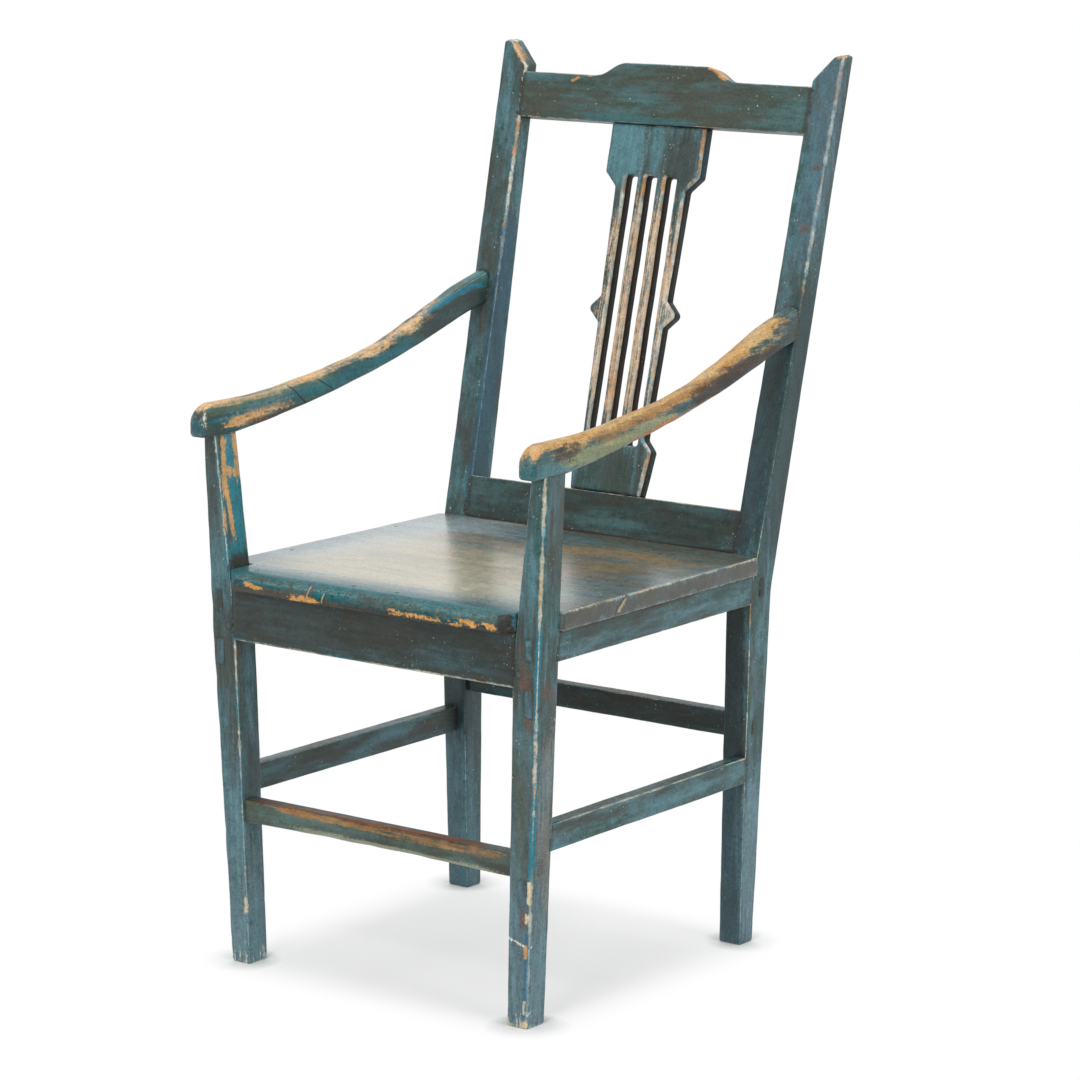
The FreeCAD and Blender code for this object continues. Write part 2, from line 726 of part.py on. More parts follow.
# Seat board on the rails, notched round the front posts and butted to the back posts
notch_side = front_inner(rail_top) - notch_gap
notch_rear = y_front_back + notch_back_gap
seat_lip = y_front - seat_front_overhang
seat_rear = raked_face(seat_height) + seat_rear_lap
seat_right = [
    (notch_side - seat_corner_cut, seat_lip, 0.0),
    (notch_side, y_front, 0.0),
    (notch_side, notch_rear, 0.0),
    (front_outer(rail_top) + seat_side_overhang, notch_rear, 0.0),
    (back_outer(rail_top) + seat_side_overhang, raked_face(rail_top) - fit_gap, 0.0),
    (back_outer(rail_top), raked_face(rail_top), 0.0),
    ((back_inner(seat_height) + back_outer(seat_height)) / 2, seat_rear, 0.0),
]
seat_left = [(-x, y, radius) for x, y, radius in reversed(seat_right)]
seat_board = plan_view(seat_right + seat_left, rail_top, seat_height)
for nose_level, nose_radius in ((seat_height, seat_nose_top_radius), (rail_top, seat_nose_under_radius)):
    nose_edges = []
    for edge in seat_board.Edges:
        box = edge.BoundBox
        along_lip = box.YMax < seat_lip + touch and box.XLength > seat_corner_cut
        if along_lip and abs(box.ZMin - nose_level) < touch:
            nose_edges.append(edge)
    seat_board = seat_board.makeFillet(nose_radius, nose_edges)
seat_board = main_solid(seat_board.cut(back_posts).cut(lower_rail))

# Wooden plugs in older mortises on the front posts' front faces
plugs = []
lower_plug_top = front_stretcher_level - plug_stretcher_gap
lower_plug_out = front_outer(lower_plug_top) - side_tenon_inset
for plug_top, plug_out in ((front_rail_bottom, through_tenon_out), (lower_plug_top, lower_plug_out)):
    plug = block(
        (plug_out - plug_width, plug_out),
        (y_front, y_front + plug_depth),
        (plug_top - plug_height, plug_top),
    )
    plugs.append(main_solid(plug.common(front_post)))

# Nails through the seat board into the rails
front_nail_y = y_front + front_rail_thickness / 2
right_nail_points = [(notch_side - nail_edge_margin, front_nail_y), (nail_edge_margin, front_nail_y)]
for share in (0.25, 0.75):
    rail_edge = between(share, 0.0, side_rail_front, 1.0, side_rail_back)
    right_nail_points.append((rail_edge - side_rail_thickness / 2, y_front_back + share * rail_clear_length))
nails = []
nail_holes = []
for nail_x, nail_y in right_nail_points:
    nail_start = V(nail_x, nail_y, seat_height - nail_length)
    nail, nail_hole = peg_and_hole(nail_diameter, nail_length, nail_start, V(0, 0, 1))
    nails.extend(pair(nail))
    nail_holes.extend(pair(nail_hole))
seat_board = seat_board.cut(nail_holes)
front_rail = front_rail.cut(nail_holes)
side_rail = side_rail.cut(nail_holes)

# Mortises and peg holes in the posts
front_post = front_post.cut(
    [
        front_rail_mortise,
        through_mortise,
        front_stretcher_mortise,
        front_leg_mortise,
        front_peg_hole,
        leg_peg_hole,
    ]
    + plugs
)
back_post = back_post.cut(
    [
        blind_mortise,
        rear_rail_mortise,
        back_leg_mortise,
        rear_stretcher_mortise,
        onto_back(crest_mortise),
        onto_back(lower_mortise),
    ]
)

# Pieces made for the right side and mirrored to the left
for name, right, left in (
    ("front_post", front_post, front_post),
    ("back_post", back_post.cut(right_arm_cuts), back_post.cut(left_arm_cuts)),
    ("side_seat_rail", side_rail, side_rail),
    ("side_stretcher", side_stretcher, side_stretcher),
    ("arm", right_arm, left_arm),
):
    write("right_" + name, main_solid(right))
    write("left_" + name, left_of(main_solid(left)))

# Single pieces
for name, shape in (
    ("crest_rail", crest_rail),
    ("lower_back_rail", lower_rail),
    ("back_splat", splat),
    ("seat_board", seat_board),
    ("front_seat_rail", front_rail),
    ("rear_seat_rail", rear_rail),
    ("front_stretcher", front_stretcher),
    ("rear_stretcher", rear_stretcher),
):
    write(name, main_solid(shape))

# Small pieces of one kind share a file as separate solids
for name, solids in (
    ("front_rail_pegs", pair(front_peg)),
    ("side_stretcher_pegs", pair(leg_peg)),
    ("front_post_plugs", plugs + [left_of(plug) for plug in plugs]),
    ("arm_front_pegs", [right_arm_peg, left_of(left_arm_peg)]),
    ("arm_rear_pegs", [right_rear_peg, left_of(left_rear_peg)]),
    ("seat_nails", nails),
):
    write(name, Part.Compound(solids))
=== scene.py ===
import math

import bmesh
import bpy
import numpy as np
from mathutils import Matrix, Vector, geometry, noise
from mathutils.bvhtree import BVHTree


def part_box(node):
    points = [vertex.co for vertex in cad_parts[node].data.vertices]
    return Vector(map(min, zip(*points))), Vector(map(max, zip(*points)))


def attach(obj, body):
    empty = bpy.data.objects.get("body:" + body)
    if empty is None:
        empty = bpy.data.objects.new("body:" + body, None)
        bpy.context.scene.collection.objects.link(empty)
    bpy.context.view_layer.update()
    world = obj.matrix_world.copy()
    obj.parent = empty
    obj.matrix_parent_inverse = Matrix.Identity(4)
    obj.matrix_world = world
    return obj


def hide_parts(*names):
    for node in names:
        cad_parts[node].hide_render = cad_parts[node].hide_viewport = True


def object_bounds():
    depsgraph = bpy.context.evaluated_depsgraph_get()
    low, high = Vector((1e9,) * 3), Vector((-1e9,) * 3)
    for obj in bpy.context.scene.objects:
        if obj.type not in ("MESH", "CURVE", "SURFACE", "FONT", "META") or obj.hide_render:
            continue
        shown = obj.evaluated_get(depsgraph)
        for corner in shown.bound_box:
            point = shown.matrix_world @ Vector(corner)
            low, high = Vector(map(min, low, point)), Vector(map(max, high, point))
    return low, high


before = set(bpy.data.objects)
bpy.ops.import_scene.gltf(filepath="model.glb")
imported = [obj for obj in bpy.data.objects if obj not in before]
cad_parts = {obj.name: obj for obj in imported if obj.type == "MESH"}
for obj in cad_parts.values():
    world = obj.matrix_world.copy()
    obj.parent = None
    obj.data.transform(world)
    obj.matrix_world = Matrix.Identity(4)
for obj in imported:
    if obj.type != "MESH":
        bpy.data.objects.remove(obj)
cad_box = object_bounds()

# Back posts: a leg and a raked stile in one, sawn from a plank, hand planed and painted a dull blue green.
# Every rail of the back is tenoned into them. Hands have rubbed their front arrises down to a pale line.
RIGHT = np.array((1.0, 0.0, 0.0))
BACK = np.array((0.0, 1.0, 0.0))
UP = np.array((0.0, 0.0, 1.0))
SIDES = (("left", -RIGHT), ("right", RIGHT))
noise.seed_set(7)


def reach_at(node, axes, stations):
    """Lowest and highest reach of a CAD piece across and up, where planes cut it at stations along it."""
    along, across, up = axes
    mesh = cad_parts[node].data
    points = np.array([vertex.co for vertex in mesh.vertices])
    edges = np.array([edge.vertices for edge in mesh.edges])
    first = points[edges[:, 0]]
    second = points[edges[:, 1]]
    rows = []
    for station in stations:
        before = first @ along - station
        after = second @ along - station
        cut = (before * after <= 0) & (before != after)
        share = before[cut] / (before[cut] - after[cut])
        crossing = first[cut] + (second[cut] - first[cut]) * share[:, None]
        rows.append([end(crossing @ axis) for axis in (across, up) for end in (np.min, np.max)])
    return np.array(rows)


def stations_along(span, pace, later_paces, ends):
    """Places along a bar, each with its inset where an end is rounded and its distance from its arris."""
    low, high = span

    def rounded(radius):
        steps = []
        for degrees in (0.0, 22.5, 45.0, 67.5) if radius else ():
            turn = math.radians(degrees)
            gap = radius * abs(turn - math.pi / 4)
            steps.append((radius * (1 - math.cos(turn)), radius * (1 - math.sin(turn)), gap))
        return steps

    places = [(low + depth, inset, gap) for depth, inset, gap in rounded(ends[0])]
    place = low + ends[0]
    while place < high - ends[1]:
        gap_low = place - low if ends[0] else 1.0
        gap_high = high - place if ends[1] else 1.0
        places.append((place, 0.0, min(gap_low, gap_high)))
        place += [pace, *(later for start, later in later_paces if start <= place)][-1]
    places.append((high - ends[1], 0.0, ends[1] or 1.0))
    places.extend((high - depth, inset, gap) for depth, inset, gap in reversed(rounded(ends[1])))
    return places


def ring_faces(rings, size):
    """Faces that join each ring of points to the next."""
    faces = []
    for start in range(0, (rings - 1) * size, size):
        for step in range(size):
            following = (step + 1) % size
            faces.append((start + step, start + following, start + size + following, start + size + step))
    return faces


def end_faces(first, size, middle):
    """Faces that close a ring of points with one in its middle."""
    return [(first + step, first + (step + 1) % size, middle) for step in range(size)]


def worn_bar(node, axes, span, arrises, rubs, clear=None, sides=(5, 5), pace=0.006, later_paces=(),
             ends=(0.0, 0.0), facets=(0.0, 0.0, 0.0, 0.0), wander=0.0004):
    """Rings of points round a CAD piece, with each arris eased by its own uneven radius.

    The axes are the directions along, across and up. The four arrises go round from low across and low up.
    Past the clear span, where a joint hides it, the bar runs on in the same line."""
    along, across, up = axes
    clear_low, clear_high = clear or span
    shy = 1e-5
    lead = 0.004
    most_inset = 0.42
    most_round = 0.46
    nick_depth = 0.004
    unevenness = 0.35
    arc_steps = np.linspace(0.0, 1.0, 5)
    inward = np.array(((1, 1), (-1, 1), (-1, -1), (1, -1)))
    places = stations_along(span, pace, later_paces, ends)
    inside = [min(max(place, clear_low + shy), clear_high - shy) for place, _, _ in places]
    rows = reach_at(node, axes, inside)
    low_slope = np.subtract(*reach_at(node, axes, (clear_low + lead, clear_low + shy))) / lead
    high_slope = np.subtract(*reach_at(node, axes, (clear_high - shy, clear_high - lead))) / lead
    points = []
    arris = []
    rub = []
    for (place, inset, gap), held, row in zip(places, inside, rows):
        if abs(place - held) > 1e-4:
            row = row + (place - held) * (low_slope if place < held else high_slope)
        inset = min(inset, most_inset * (row[1] - row[0]), most_inset * (row[3] - row[2]))
        low_u, high_u, low_w, high_w = row + inset * np.array((1, -1, 1, -1))
        corners = np.array(((low_u, low_w), (high_u, low_w), (high_u, high_w), (low_u, high_w)))
        most = most_round * min(high_u - low_u, high_w - low_w)
        worn = [share(place) if callable(share) else share for share in rubs]
        eased = []
        curves = []
        for corner, (u, w) in enumerate(corners):
            spot = Vector(along * place + across * u + up * w)
            size = arrises[corner](place) if callable(arrises[corner]) else arrises[corner]
            nick = max(0.0, noise.noise(spot * 120.0) - 0.3) * nick_depth * worn[corner]
            radius = min(most, size * (1 + unevenness * noise.noise(spot * 35.0)) + nick)
            turns = math.pi * (1 + (corner + arc_steps) / 2)
            centre = (u, w) + radius * inward[corner]
            curve = centre + radius * np.stack((np.cos(turns), np.sin(turns)), axis=1)
            chord = np.linspace(curve[0], curve[-1], len(turns))
            curves.append(curve + (chord - curve) * facets[corner])
            eased.append(radius)
        flat = []
        for corner, curve in enumerate(curves):
            after = (corner + 1) % 4
            for spot, share in zip(curve, arc_steps):
                flat.append((*spot, eased[corner] * abs(share - 0.5) * math.pi / 2, worn[corner]))
            run = curves[after][0] - curve[-1]
            length = np.linalg.norm(run)
            count = sides[corner % 2]
            for step in range(1, count + 1):
                share = step / (count + 1)
                from_start = share * length + eased[corner] * math.pi / 4
                from_stop = (1 - share) * length + eased[after] * math.pi / 4
                weight = worn[corner] if share < 0.5 else worn[after]
                flat.append((*(curve[-1] + run * share), min(from_start, from_stop), weight))
        for u, w, distance, weight in flat:
            spot = Vector(along * place + across * u + up * w)
            spot += noise.noise_vector(spot * 8.0) * wander + noise.noise_vector(spot * 60.0) * wander * 0.3
            points.append(spot)
            arris.append(min(distance, gap))
            rub.append(weight)
    size = len(flat)
    faces = ring_faces(len(places), size)
    for first in (0, (len(places) - 1) * size):
        faces.extend(end_faces(first, size, len(points)))
        points.append(sum(points[first:first + size], Vector()) / size)
        arris.append(0.02)
        rub.append(worn[0])
    return {"points": points, "faces": faces, "arris": arris, "rub": rub}


def joined(meshes):
    """The points and faces of several meshes as one."""
    points = []
    faces = []
    for spots, corners in meshes:
        faces.extend([len(points) + corner for corner in face] for face in corners)
        points.extend(spots)
    return points, faces


def add_object(name, data):
    """Puts a mesh, a lamp or a camera in the scene."""
    added = bpy.data.objects.new(name, data)
    bpy.context.scene.collection.objects.link(added)
    return added


def make_piece(node, lofts, finish):
    """Joins lofts into one mesh that stands for a CAD piece, inside the CAD box.

    Its points hold how far each is from an arris and from other pieces, and how much it is rubbed."""
    points, faces = joined((loft["points"], loft["faces"]) for loft in lofts)
    points = [Vector(point) for point in np.clip(points, *cad_box)]
    mesh = bpy.data.meshes.new(node + "_painted")
    mesh.from_pydata(points, [], faces)
    solid = bmesh.new()
    solid.from_mesh(mesh)
    bmesh.ops.recalc_face_normals(solid, faces=solid.faces)
    solid.to_mesh(mesh)
    solid.free()
    others = [other.data for name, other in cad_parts.items() if name != node]
    neighbours = BVHTree.FromPolygons(*joined(
        ([vertex.co for vertex in other.vertices], [face.vertices for face in other.polygons])
        for other in others
    ))
    marks = {name: [value for loft in lofts for value in loft[name]] for name in ("arris", "rub")}
    marks["joint"] = [neighbours.find_nearest(point)[3] for point in points]
    for name, values in marks.items():
        mesh.attributes.new(name, "FLOAT", "POINT").data.foreach_set("value", values)
    mesh.shade_smooth()
    mesh.materials.append(finish)
    piece = add_object(node + "_painted", mesh)
    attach(piece, "root")
    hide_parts(node)
    return piece


def colour(red, green, blue):
    """A colour as seen on a screen, out of 255, in the numbers that shaders use."""
    shares = [value / 255 for value in (red, green, blue)]
    light = [share / 12.92 if share < 0.04045 else ((share + 0.055) / 1.055) ** 2.4 for share in shares]
    return (*light, 1.0)


def put(tree, kind, values=None, **settings):
    """Adds a node with its settings, and sets its inputs to values or links them to outputs of others."""
    node = tree.nodes.new("ShaderNode" + kind)
    for key, value in settings.items():
        setattr(node, key, value)
    for key, value in (values or {}).items():
        if isinstance(value, bpy.types.NodeSocket):
            tree.links.new(value, node.inputs[key])
        else:
            node.inputs[key].default_value = value
    return node


def reckon(kind, values, **settings):
    """Puts a node in the shader tree that its first linked value comes from, and gives its outputs."""
    linked = [value for value in values.values() if isinstance(value, bpy.types.NodeSocket)]
    return put(linked[0].id_data, kind, values, **settings).outputs


def sums(operation, first, second=0.0, third=0.0):
    return reckon("Math", {0: first, 1: second, 2: third}, operation=operation)[0]


def times(first, second):
    return sums("MULTIPLY", first, second)


def plus(first, second):
    return sums("ADD", first, second)


def weigh(value, weight, rest):
    return sums("MULTIPLY_ADD", value, weight, rest)


def vectors(operation, first, second, output=0):
    return reckon("VectorMath", {0: first, 1: second}, operation=operation)[output]


def fade(value, start, stop):
    values = {"Value": value, "From Min": start, "From Max": stop}
    return reckon("MapRange", values, interpolation_type="SMOOTHSTEP")[0]


def coat(mask, under, over, blend="MIX"):
    return reckon("Mix", {0: mask, 6: under, 7: over}, data_type="RGBA", blend_type=blend)[2]


def cloud(place, scale, detail, roughness):
    values = {"Vector": place, "Scale": scale, "Detail": detail, "Roughness": roughness}
    return reckon("TexNoise", values)[0]


def open_group(name, inputs, outputs):
    """Starts a shader group with named sockets, and gives the group, its inputs and its output node."""
    group = bpy.data.node_groups.new(name, "ShaderNodeTree")
    for side, sockets in (("INPUT", inputs), ("OUTPUT", outputs)):
        for kind, labels in sockets.items():
            for label in labels.split():
                group.interface.new_socket(name=label, in_out=side, socket_type="NodeSocket" + kind)
    return group, group.nodes.new("NodeGroupInput").outputs, group.nodes.new("NodeGroupOutput")


# Old paint: a green coat with a bluer one over it in patches, brown grime in others and round joints,
# arrises worn to fresher paint, a pale undercoat and bare wood, rust stains and a scatter of flecks.
old_paint, given, result = open_group(
    "old_paint",
    {"Color": "paint blue grime fresh undercoat wood", "Vector": "grain spread",
     "Float": "blue_share grime_share joint_grime fresh_share wear rub flecks gloss"},
    {"Color": "colour shade", "Float": "roughness height"},
)
joint_gap, arris_gap, arris_rub = (
    put(old_paint, "Attribute", attribute_name=name).outputs["Fac"] for name in ("joint", "arris", "rub")
)
place = put(old_paint, "TexCoord").outputs["Object"]
drawn = vectors("MULTIPLY", place, given["grain"])
moved = vectors("ADD", drawn, (7.3, 2.9, 5.1))
spread = vectors("MULTIPLY", place, given["spread"])
stained = vectors("ADD", spread, (3.7, 8.1, 1.9))
patchy = fade(cloud(spread, 1.0, 5.0, 0.66), 0.38, 0.62)
stain = fade(cloud(stained, 0.8, 6.0, 0.68), 0.38, 0.62)
streak = fade(cloud(drawn, 1.0, 8.0, 0.72), 0.34, 0.66)
smear = fade(cloud(moved, 0.6, 7.0, 0.7), 0.34, 0.66)
scuff = fade(cloud(place, 85.0, 8.0, 0.8), 0.36, 0.64)
speck = fade(cloud(place, 420.0, 4.0, 0.75), 0.36, 0.66)
pore = fade(cloud(moved, 7.0, 3.0, 0.6), 0.42, 0.33)
mottle = weigh(patchy, 0.55, weigh(scuff, 0.25, times(streak, 0.2)))
blue_mask = fade(plus(mottle, given["blue_share"]), 0.58, 1.42)
paint = coat(blue_mask, given["paint"], given["blue"])
shade = weigh(pore, -0.12, weigh(speck, 0.38, weigh(streak, 0.22, weigh(scuff, 0.26, 0.58))))
grain_grey = reckon("CombineColor", {0: shade, 1: shade, 2: shade})[0]
dirt = weigh(stain, 0.55, weigh(smear, 0.2, times(scuff, 0.25)))
dirt_mask = times(fade(plus(dirt, given["grime_share"]), 0.62, 1.45), 0.85)
joint_reach = weigh(scuff, 0.006, 0.0008)
joint_mask = times(fade(joint_gap, joint_reach, 0.0001), given["joint_grime"])
paint = coat(dirt_mask, paint, given["grime"])
paint = coat(joint_mask, paint, coat(0.5, given["grime"], (0.01, 0.008, 0.006, 1.0)))
paint = coat(1.0, paint, grain_grey, "MULTIPLY")
bloom_mask = fade(cloud(stained, 5.0, 7.0, 0.82), 0.56, 0.72)
bloom = coat(0.5, given["blue"], given["fresh"])
paint = coat(times(bloom_mask, 0.5), paint, bloom)
rust_mask = fade(cloud(place, 55.0, 8.0, 0.85), 0.64, 0.74)
paint = coat(times(rust_mask, 0.6), paint, colour(104, 66, 48))
spots = reckon("TexVoronoi", {"Vector": place, "Scale": 260.0})
pick = reckon("SeparateColor", {0: spots["Color"]})
spot_size = weigh(pick[2], 0.22, 0.12)
spot_mask = fade(spots["Distance"], spot_size, times(spot_size, 0.5))
crowd = fade(cloud(place, 16.0, 3.0, 0.65), 0.4, 0.66)
chosen = sums("GREATER_THAN", times(given["flecks"], crowd), pick[0])
spot_strength = weigh(sums("POWER", pick[1], 1.5), 0.75, 0.15)
spot_mask = times(times(spot_mask, chosen), spot_strength)
spot_hue = sums("FRACT", times(pick[0], 37.0))
spot_tint = coat(fade(spot_hue, 0.4, 0.5), colour(94, 148, 138), given["undercoat"])
spot_tint = coat(fade(spot_hue, 0.78, 0.8), spot_tint, colour(118, 74, 52))
paint = coat(spot_mask, paint, spot_tint)
edge_break = fade(cloud(place, 75.0, 8.0, 0.8), 0.34, 0.68)
edge_keep = sums("MAXIMUM", plus(arris_rub, -1.0), 0.0)
edge_keep = sums("MINIMUM", plus(edge_keep, edge_break), 1.0)
edge_width = times(given["wear"], sums("MINIMUM", arris_rub, 1.0))
fresh_mask = fade(plus(cloud(place, 11.0, 3.0, 0.6), given["fresh_share"]), 0.92, 1.08)
band_width = times(edge_width, weigh(edge_keep, 0.7, 0.6))
band_mask = times(fade(arris_gap, band_width, times(band_width, 0.5)), fresh_mask)
paint = coat(times(band_mask, 0.85), paint, coat(1.0, given["fresh"], grain_grey, "MULTIPLY"))
edge_width = times(times(edge_width, edge_keep), weigh(fresh_mask, -0.7, 1.0))
edge_mask = fade(arris_gap, edge_width, times(edge_width, 0.3))
bare_mix = fade(cloud(place, 22.0, 4.0, 0.65), 0.5, 0.6)
edge_tint = coat(bare_mix, given["undercoat"], given["wood"])
pale_mask = fade(cloud(place, 40.0, 6.0, 0.75), 0.5, 0.4)
edge_tint = coat(pale_mask, edge_tint, colour(118, 160, 172))
edge_tint = coat(0.7, edge_tint, grain_grey, "MULTIPLY")
edge_strength = times(edge_mask, weigh(scuff, 0.5, 0.5))
paint = coat(edge_strength, paint, edge_tint)
rub_sum = weigh(plus(scuff, -0.5), 0.35, weigh(plus(streak, -0.5), 1.1, given["rub"]))
rub_mask = times(fade(rub_sum, 0.15, 0.95), fade(given["rub"], 0.0, 0.2))
bare = coat(times(smear, 0.8), given["wood"], given["undercoat"])
bare = coat(times(pore, 0.6), bare, given["grime"])
bare = coat(1.0, bare, grain_grey, "MULTIPLY")
paint = coat(rub_mask, paint, bare)
worn = sums("MAXIMUM", edge_mask, rub_mask)
rough = weigh(plus(scuff, -0.5), 0.14, given["gloss"])
rough = weigh(dirt_mask, 0.08, weigh(worn, 0.1, rough))
height = weigh(speck, 0.1, weigh(streak, 0.25, times(scuff, 0.25)))
height = weigh(worn, -0.3, weigh(pore, -0.15, height))
for label, value in (("colour", paint), ("shade", grain_grey), ("roughness", rough), ("height", height)):
    old_paint.links.new(value, result.inputs[label])

# A worn or stained stroke between two places, broken up along the grain and by small flakes.
patch, given, result = open_group(
    "patch", {"Vector": "start stop reach grain", "Float": "ragged soft"}, {"Float": "mask"},
)
place = put(patch, "TexCoord").outputs["Object"]
away = vectors("SUBTRACT", place, given["start"])
run = vectors("SUBTRACT", given["stop"], given["start"])
along = vectors("DOT_PRODUCT", away, run, "Value")
along = sums("DIVIDE", along, vectors("DOT_PRODUCT", run, run, "Value"))
along = sums("MINIMUM", sums("MAXIMUM", along, 0.0), 1.0)
away = vectors("SUBTRACT", away, vectors("MULTIPLY", run, along))
away = vectors("DIVIDE", away, given["reach"])
distance = reckon("VectorMath", {0: away}, operation="LENGTH")["Value"]
drawn = vectors("MULTIPLY", place, given["grain"])
flakes = fade(cloud(place, 220.0, 7.0, 0.85), 0.3, 0.7)
rim = fade(cloud(drawn, 1.2, 7.0, 0.72), 0.3, 0.7)
rim = weigh(flakes, 0.6, weigh(rim, 0.6, -0.6))
rim = weigh(rim, given["ragged"], sums("SUBTRACT", 1.0, distance))
patch.links.new(fade(rim, 0.0, given["soft"]), result.inputs["mask"])


def painted(name, rubs=(), tints=(), bump=0.4, top_rub=None, shine=0.3, polish=None, **changes):
    """Old paint in the chair's usual coats, apart from those that are changed.

    A rub wears it to wood along a stroke of one or two points, with a reach, a raggedness and a strength,
    and a tint has its colour first. The wider a stroke, the softer its rim. A top rub wears the faces that
    look up, between two slopes, to a strength, and dies away between two places along the chair's depth.
    A polish grows between two such places. All points, reaches and places are in millimetres."""
    coats = {
        "paint": (44, 76, 73), "blue": (80, 123, 132), "grime": (60, 57, 48), "fresh": (32, 108, 124),
        "undercoat": (188, 184, 164), "wood": (194, 144, 90), "blue_share": 0.5, "grime_share": 0.5,
        "joint_grime": 0.7, "fresh_share": 0.45, "wear": 0.002, "flecks": 0.8, "gloss": 0.32,
        "grain": (150, 150, 9),
    }
    coats.update(changes)
    material = bpy.data.materials.new(name)
    material.use_nodes = True
    tree = material.node_tree
    shader = tree.nodes["Principled BSDF"]
    shader.inputs["Specular IOR Level"].default_value = shine
    finish = put(tree, "Group", node_tree=old_paint)
    for key, value in coats.items():
        socket = finish.inputs[key]
        socket.default_value = colour(*value) if socket.type == "RGBA" else value
    finish.inputs["spread"].default_value = [3 * math.sqrt(value) for value in coats["grain"]]

    def mask_of(stroke, reach, ragged):
        start, stop, reach = np.array((stroke[0], stroke[-1], reach)) / 1000
        values = {"start": start, "stop": stop, "reach": reach, "ragged": ragged, "grain": coats["grain"],
                  "soft": min(1.0, max(0.3, 12 * sorted(reach)[1]))}
        return put(tree, "Group", values, node_tree=patch).outputs["mask"]

    def fade_along(start, stop):
        place = put(tree, "TexCoord").outputs["Object"]
        return fade(reckon("SeparateXYZ", {0: place})["Y"], start / 1000, stop / 1000)

    if polish:
        tree.links.new(times(fade_along(*polish), 0.8), shader.inputs["Coat Weight"])
        shader.inputs["Coat Roughness"].default_value = 0.24
    rubbed = None
    if top_rub:
        start, stop, strength, gone, full = top_rub
        normal = put(tree, "NewGeometry").outputs["Normal"]
        facing = reckon("SeparateXYZ", {0: normal})["Z"]
        rubbed = times(times(fade(facing, start, stop), strength), fade_along(gone, full))
    for *stroke, reach, ragged, strength in rubs:
        mask = times(mask_of(stroke, reach, ragged), strength)
        rubbed = sums("MAXIMUM", rubbed, mask) if rubbed else mask
    if rubbed:
        tree.links.new(rubbed, finish.inputs["rub"])
    surface = finish.outputs["colour"]
    for tint, *stroke, reach, ragged, strength in tints:
        grained = coat(1.0, finish.outputs["shade"], colour(*tint), "MULTIPLY")
        surface = coat(times(mask_of(stroke, reach, ragged), strength), surface, grained)
    tree.links.new(surface, shader.inputs["Base Color"])
    tree.links.new(finish.outputs["roughness"], shader.inputs["Roughness"])
    relief = put(tree, "Bump", {"Height": finish.outputs["height"], "Strength": bump, "Distance": 0.0008})
    tree.links.new(relief.outputs["Normal"], shader.inputs["Normal"])
    return material


wood = (190, 142, 88)
rust = (100, 64, 48)
# Painted shade: a dark colour laid on leg and post faces that lie under the seat and arms, where shade
# falls.
painted_shade = (30, 37, 38)
back_post_marks = (
    ((78, 110, 124), (0, 140, -50), (1000, 1000, 400), 0.8, 0.65),
    # Painted shade: the next three rows darken the legs below the seat and the right post's face below its
    # arm.
    (painted_shade, (200, 126, 220), (200, 126, 405), (18, 10, 35), 0.7, 0.8),
    ((36, 52, 54), (203, 145, 480), (213, 195, 690), (20, 12, 40), 0.8, 0.75),
    (painted_shade, (-195, 126, 220), (-195, 126, 405), (24, 20, 40), 0.9, 0.6),
    ((44, 66, 70), (198, 124, 30), (200, 124, 200), (16, 6, 40), 1, 0.6),
    ((108, 136, 146), (218, 142, 30), (218, 142, 160), (5, 20, 40), 1.2, 0.5),
    # Painted shade: this row darkens the right post further below its arm.
    ((36, 60, 62), (222, 165, 480), (232, 225, 720), (10, 40, 60), 0.8, 0.85),
    ((40, 82, 102), (-195, 155, 500), (-199, 220, 765), (6, 30, 60), 0.8, 0.7),
    ((76, 108, 122), (222, 228, 800), (232, 272, 980), (20, 14, 50), 1.2, 0.55),
    (wood, (-226, 277, 1004), (-212, 274, 988), (4, 8, 3), 1.8, 0.7),
    (wood, (236, 277, 1009), (5, 8, 3), 1.8, 0.7),
    (rust, (226, 250, 885), (231, 246, 886), (4, 6, 4), 3.6, 0.6),
    (rust, (220, 232, 815), (228, 226, 818), (5, 6, 5), 3.6, 0.5),
    (rust, (230, 268, 955), (232, 266, 945), (4, 6, 4), 3.6, 0.5),
)
back_post_paint = painted(
    "back_post_paint", wear=0.0048, fresh_share=0.36, undercoat=(206, 204, 186), tints=back_post_marks,
)
post_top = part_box("right_back_post")[1].z
hold_level = 0.68
hold_rise = 0.1


def hand_rub(place):
    """How far a post's arris is rubbed: most above the arms, where hands take hold of the back."""
    return 0.25 + 1.05 * min(1.0, max(0.0, (place - hold_level) / hold_rise))


for side, outward in SIDES:
    stile = worn_bar(
        side + "_back_post", (UP, outward, BACK), (0.0, post_top), (0.0024, 0.0024, 0.002, 0.002),
        (hand_rub, 0.3, 0.3, 0.3) if side == "left" else (0.3, hand_rub, 0.3, 0.3),
        later_paces=((post_top - 0.036, 0.002),), ends=(0.0025, 0.003),
    )
    make_piece(side + "_back_post", [stile], back_post_paint)

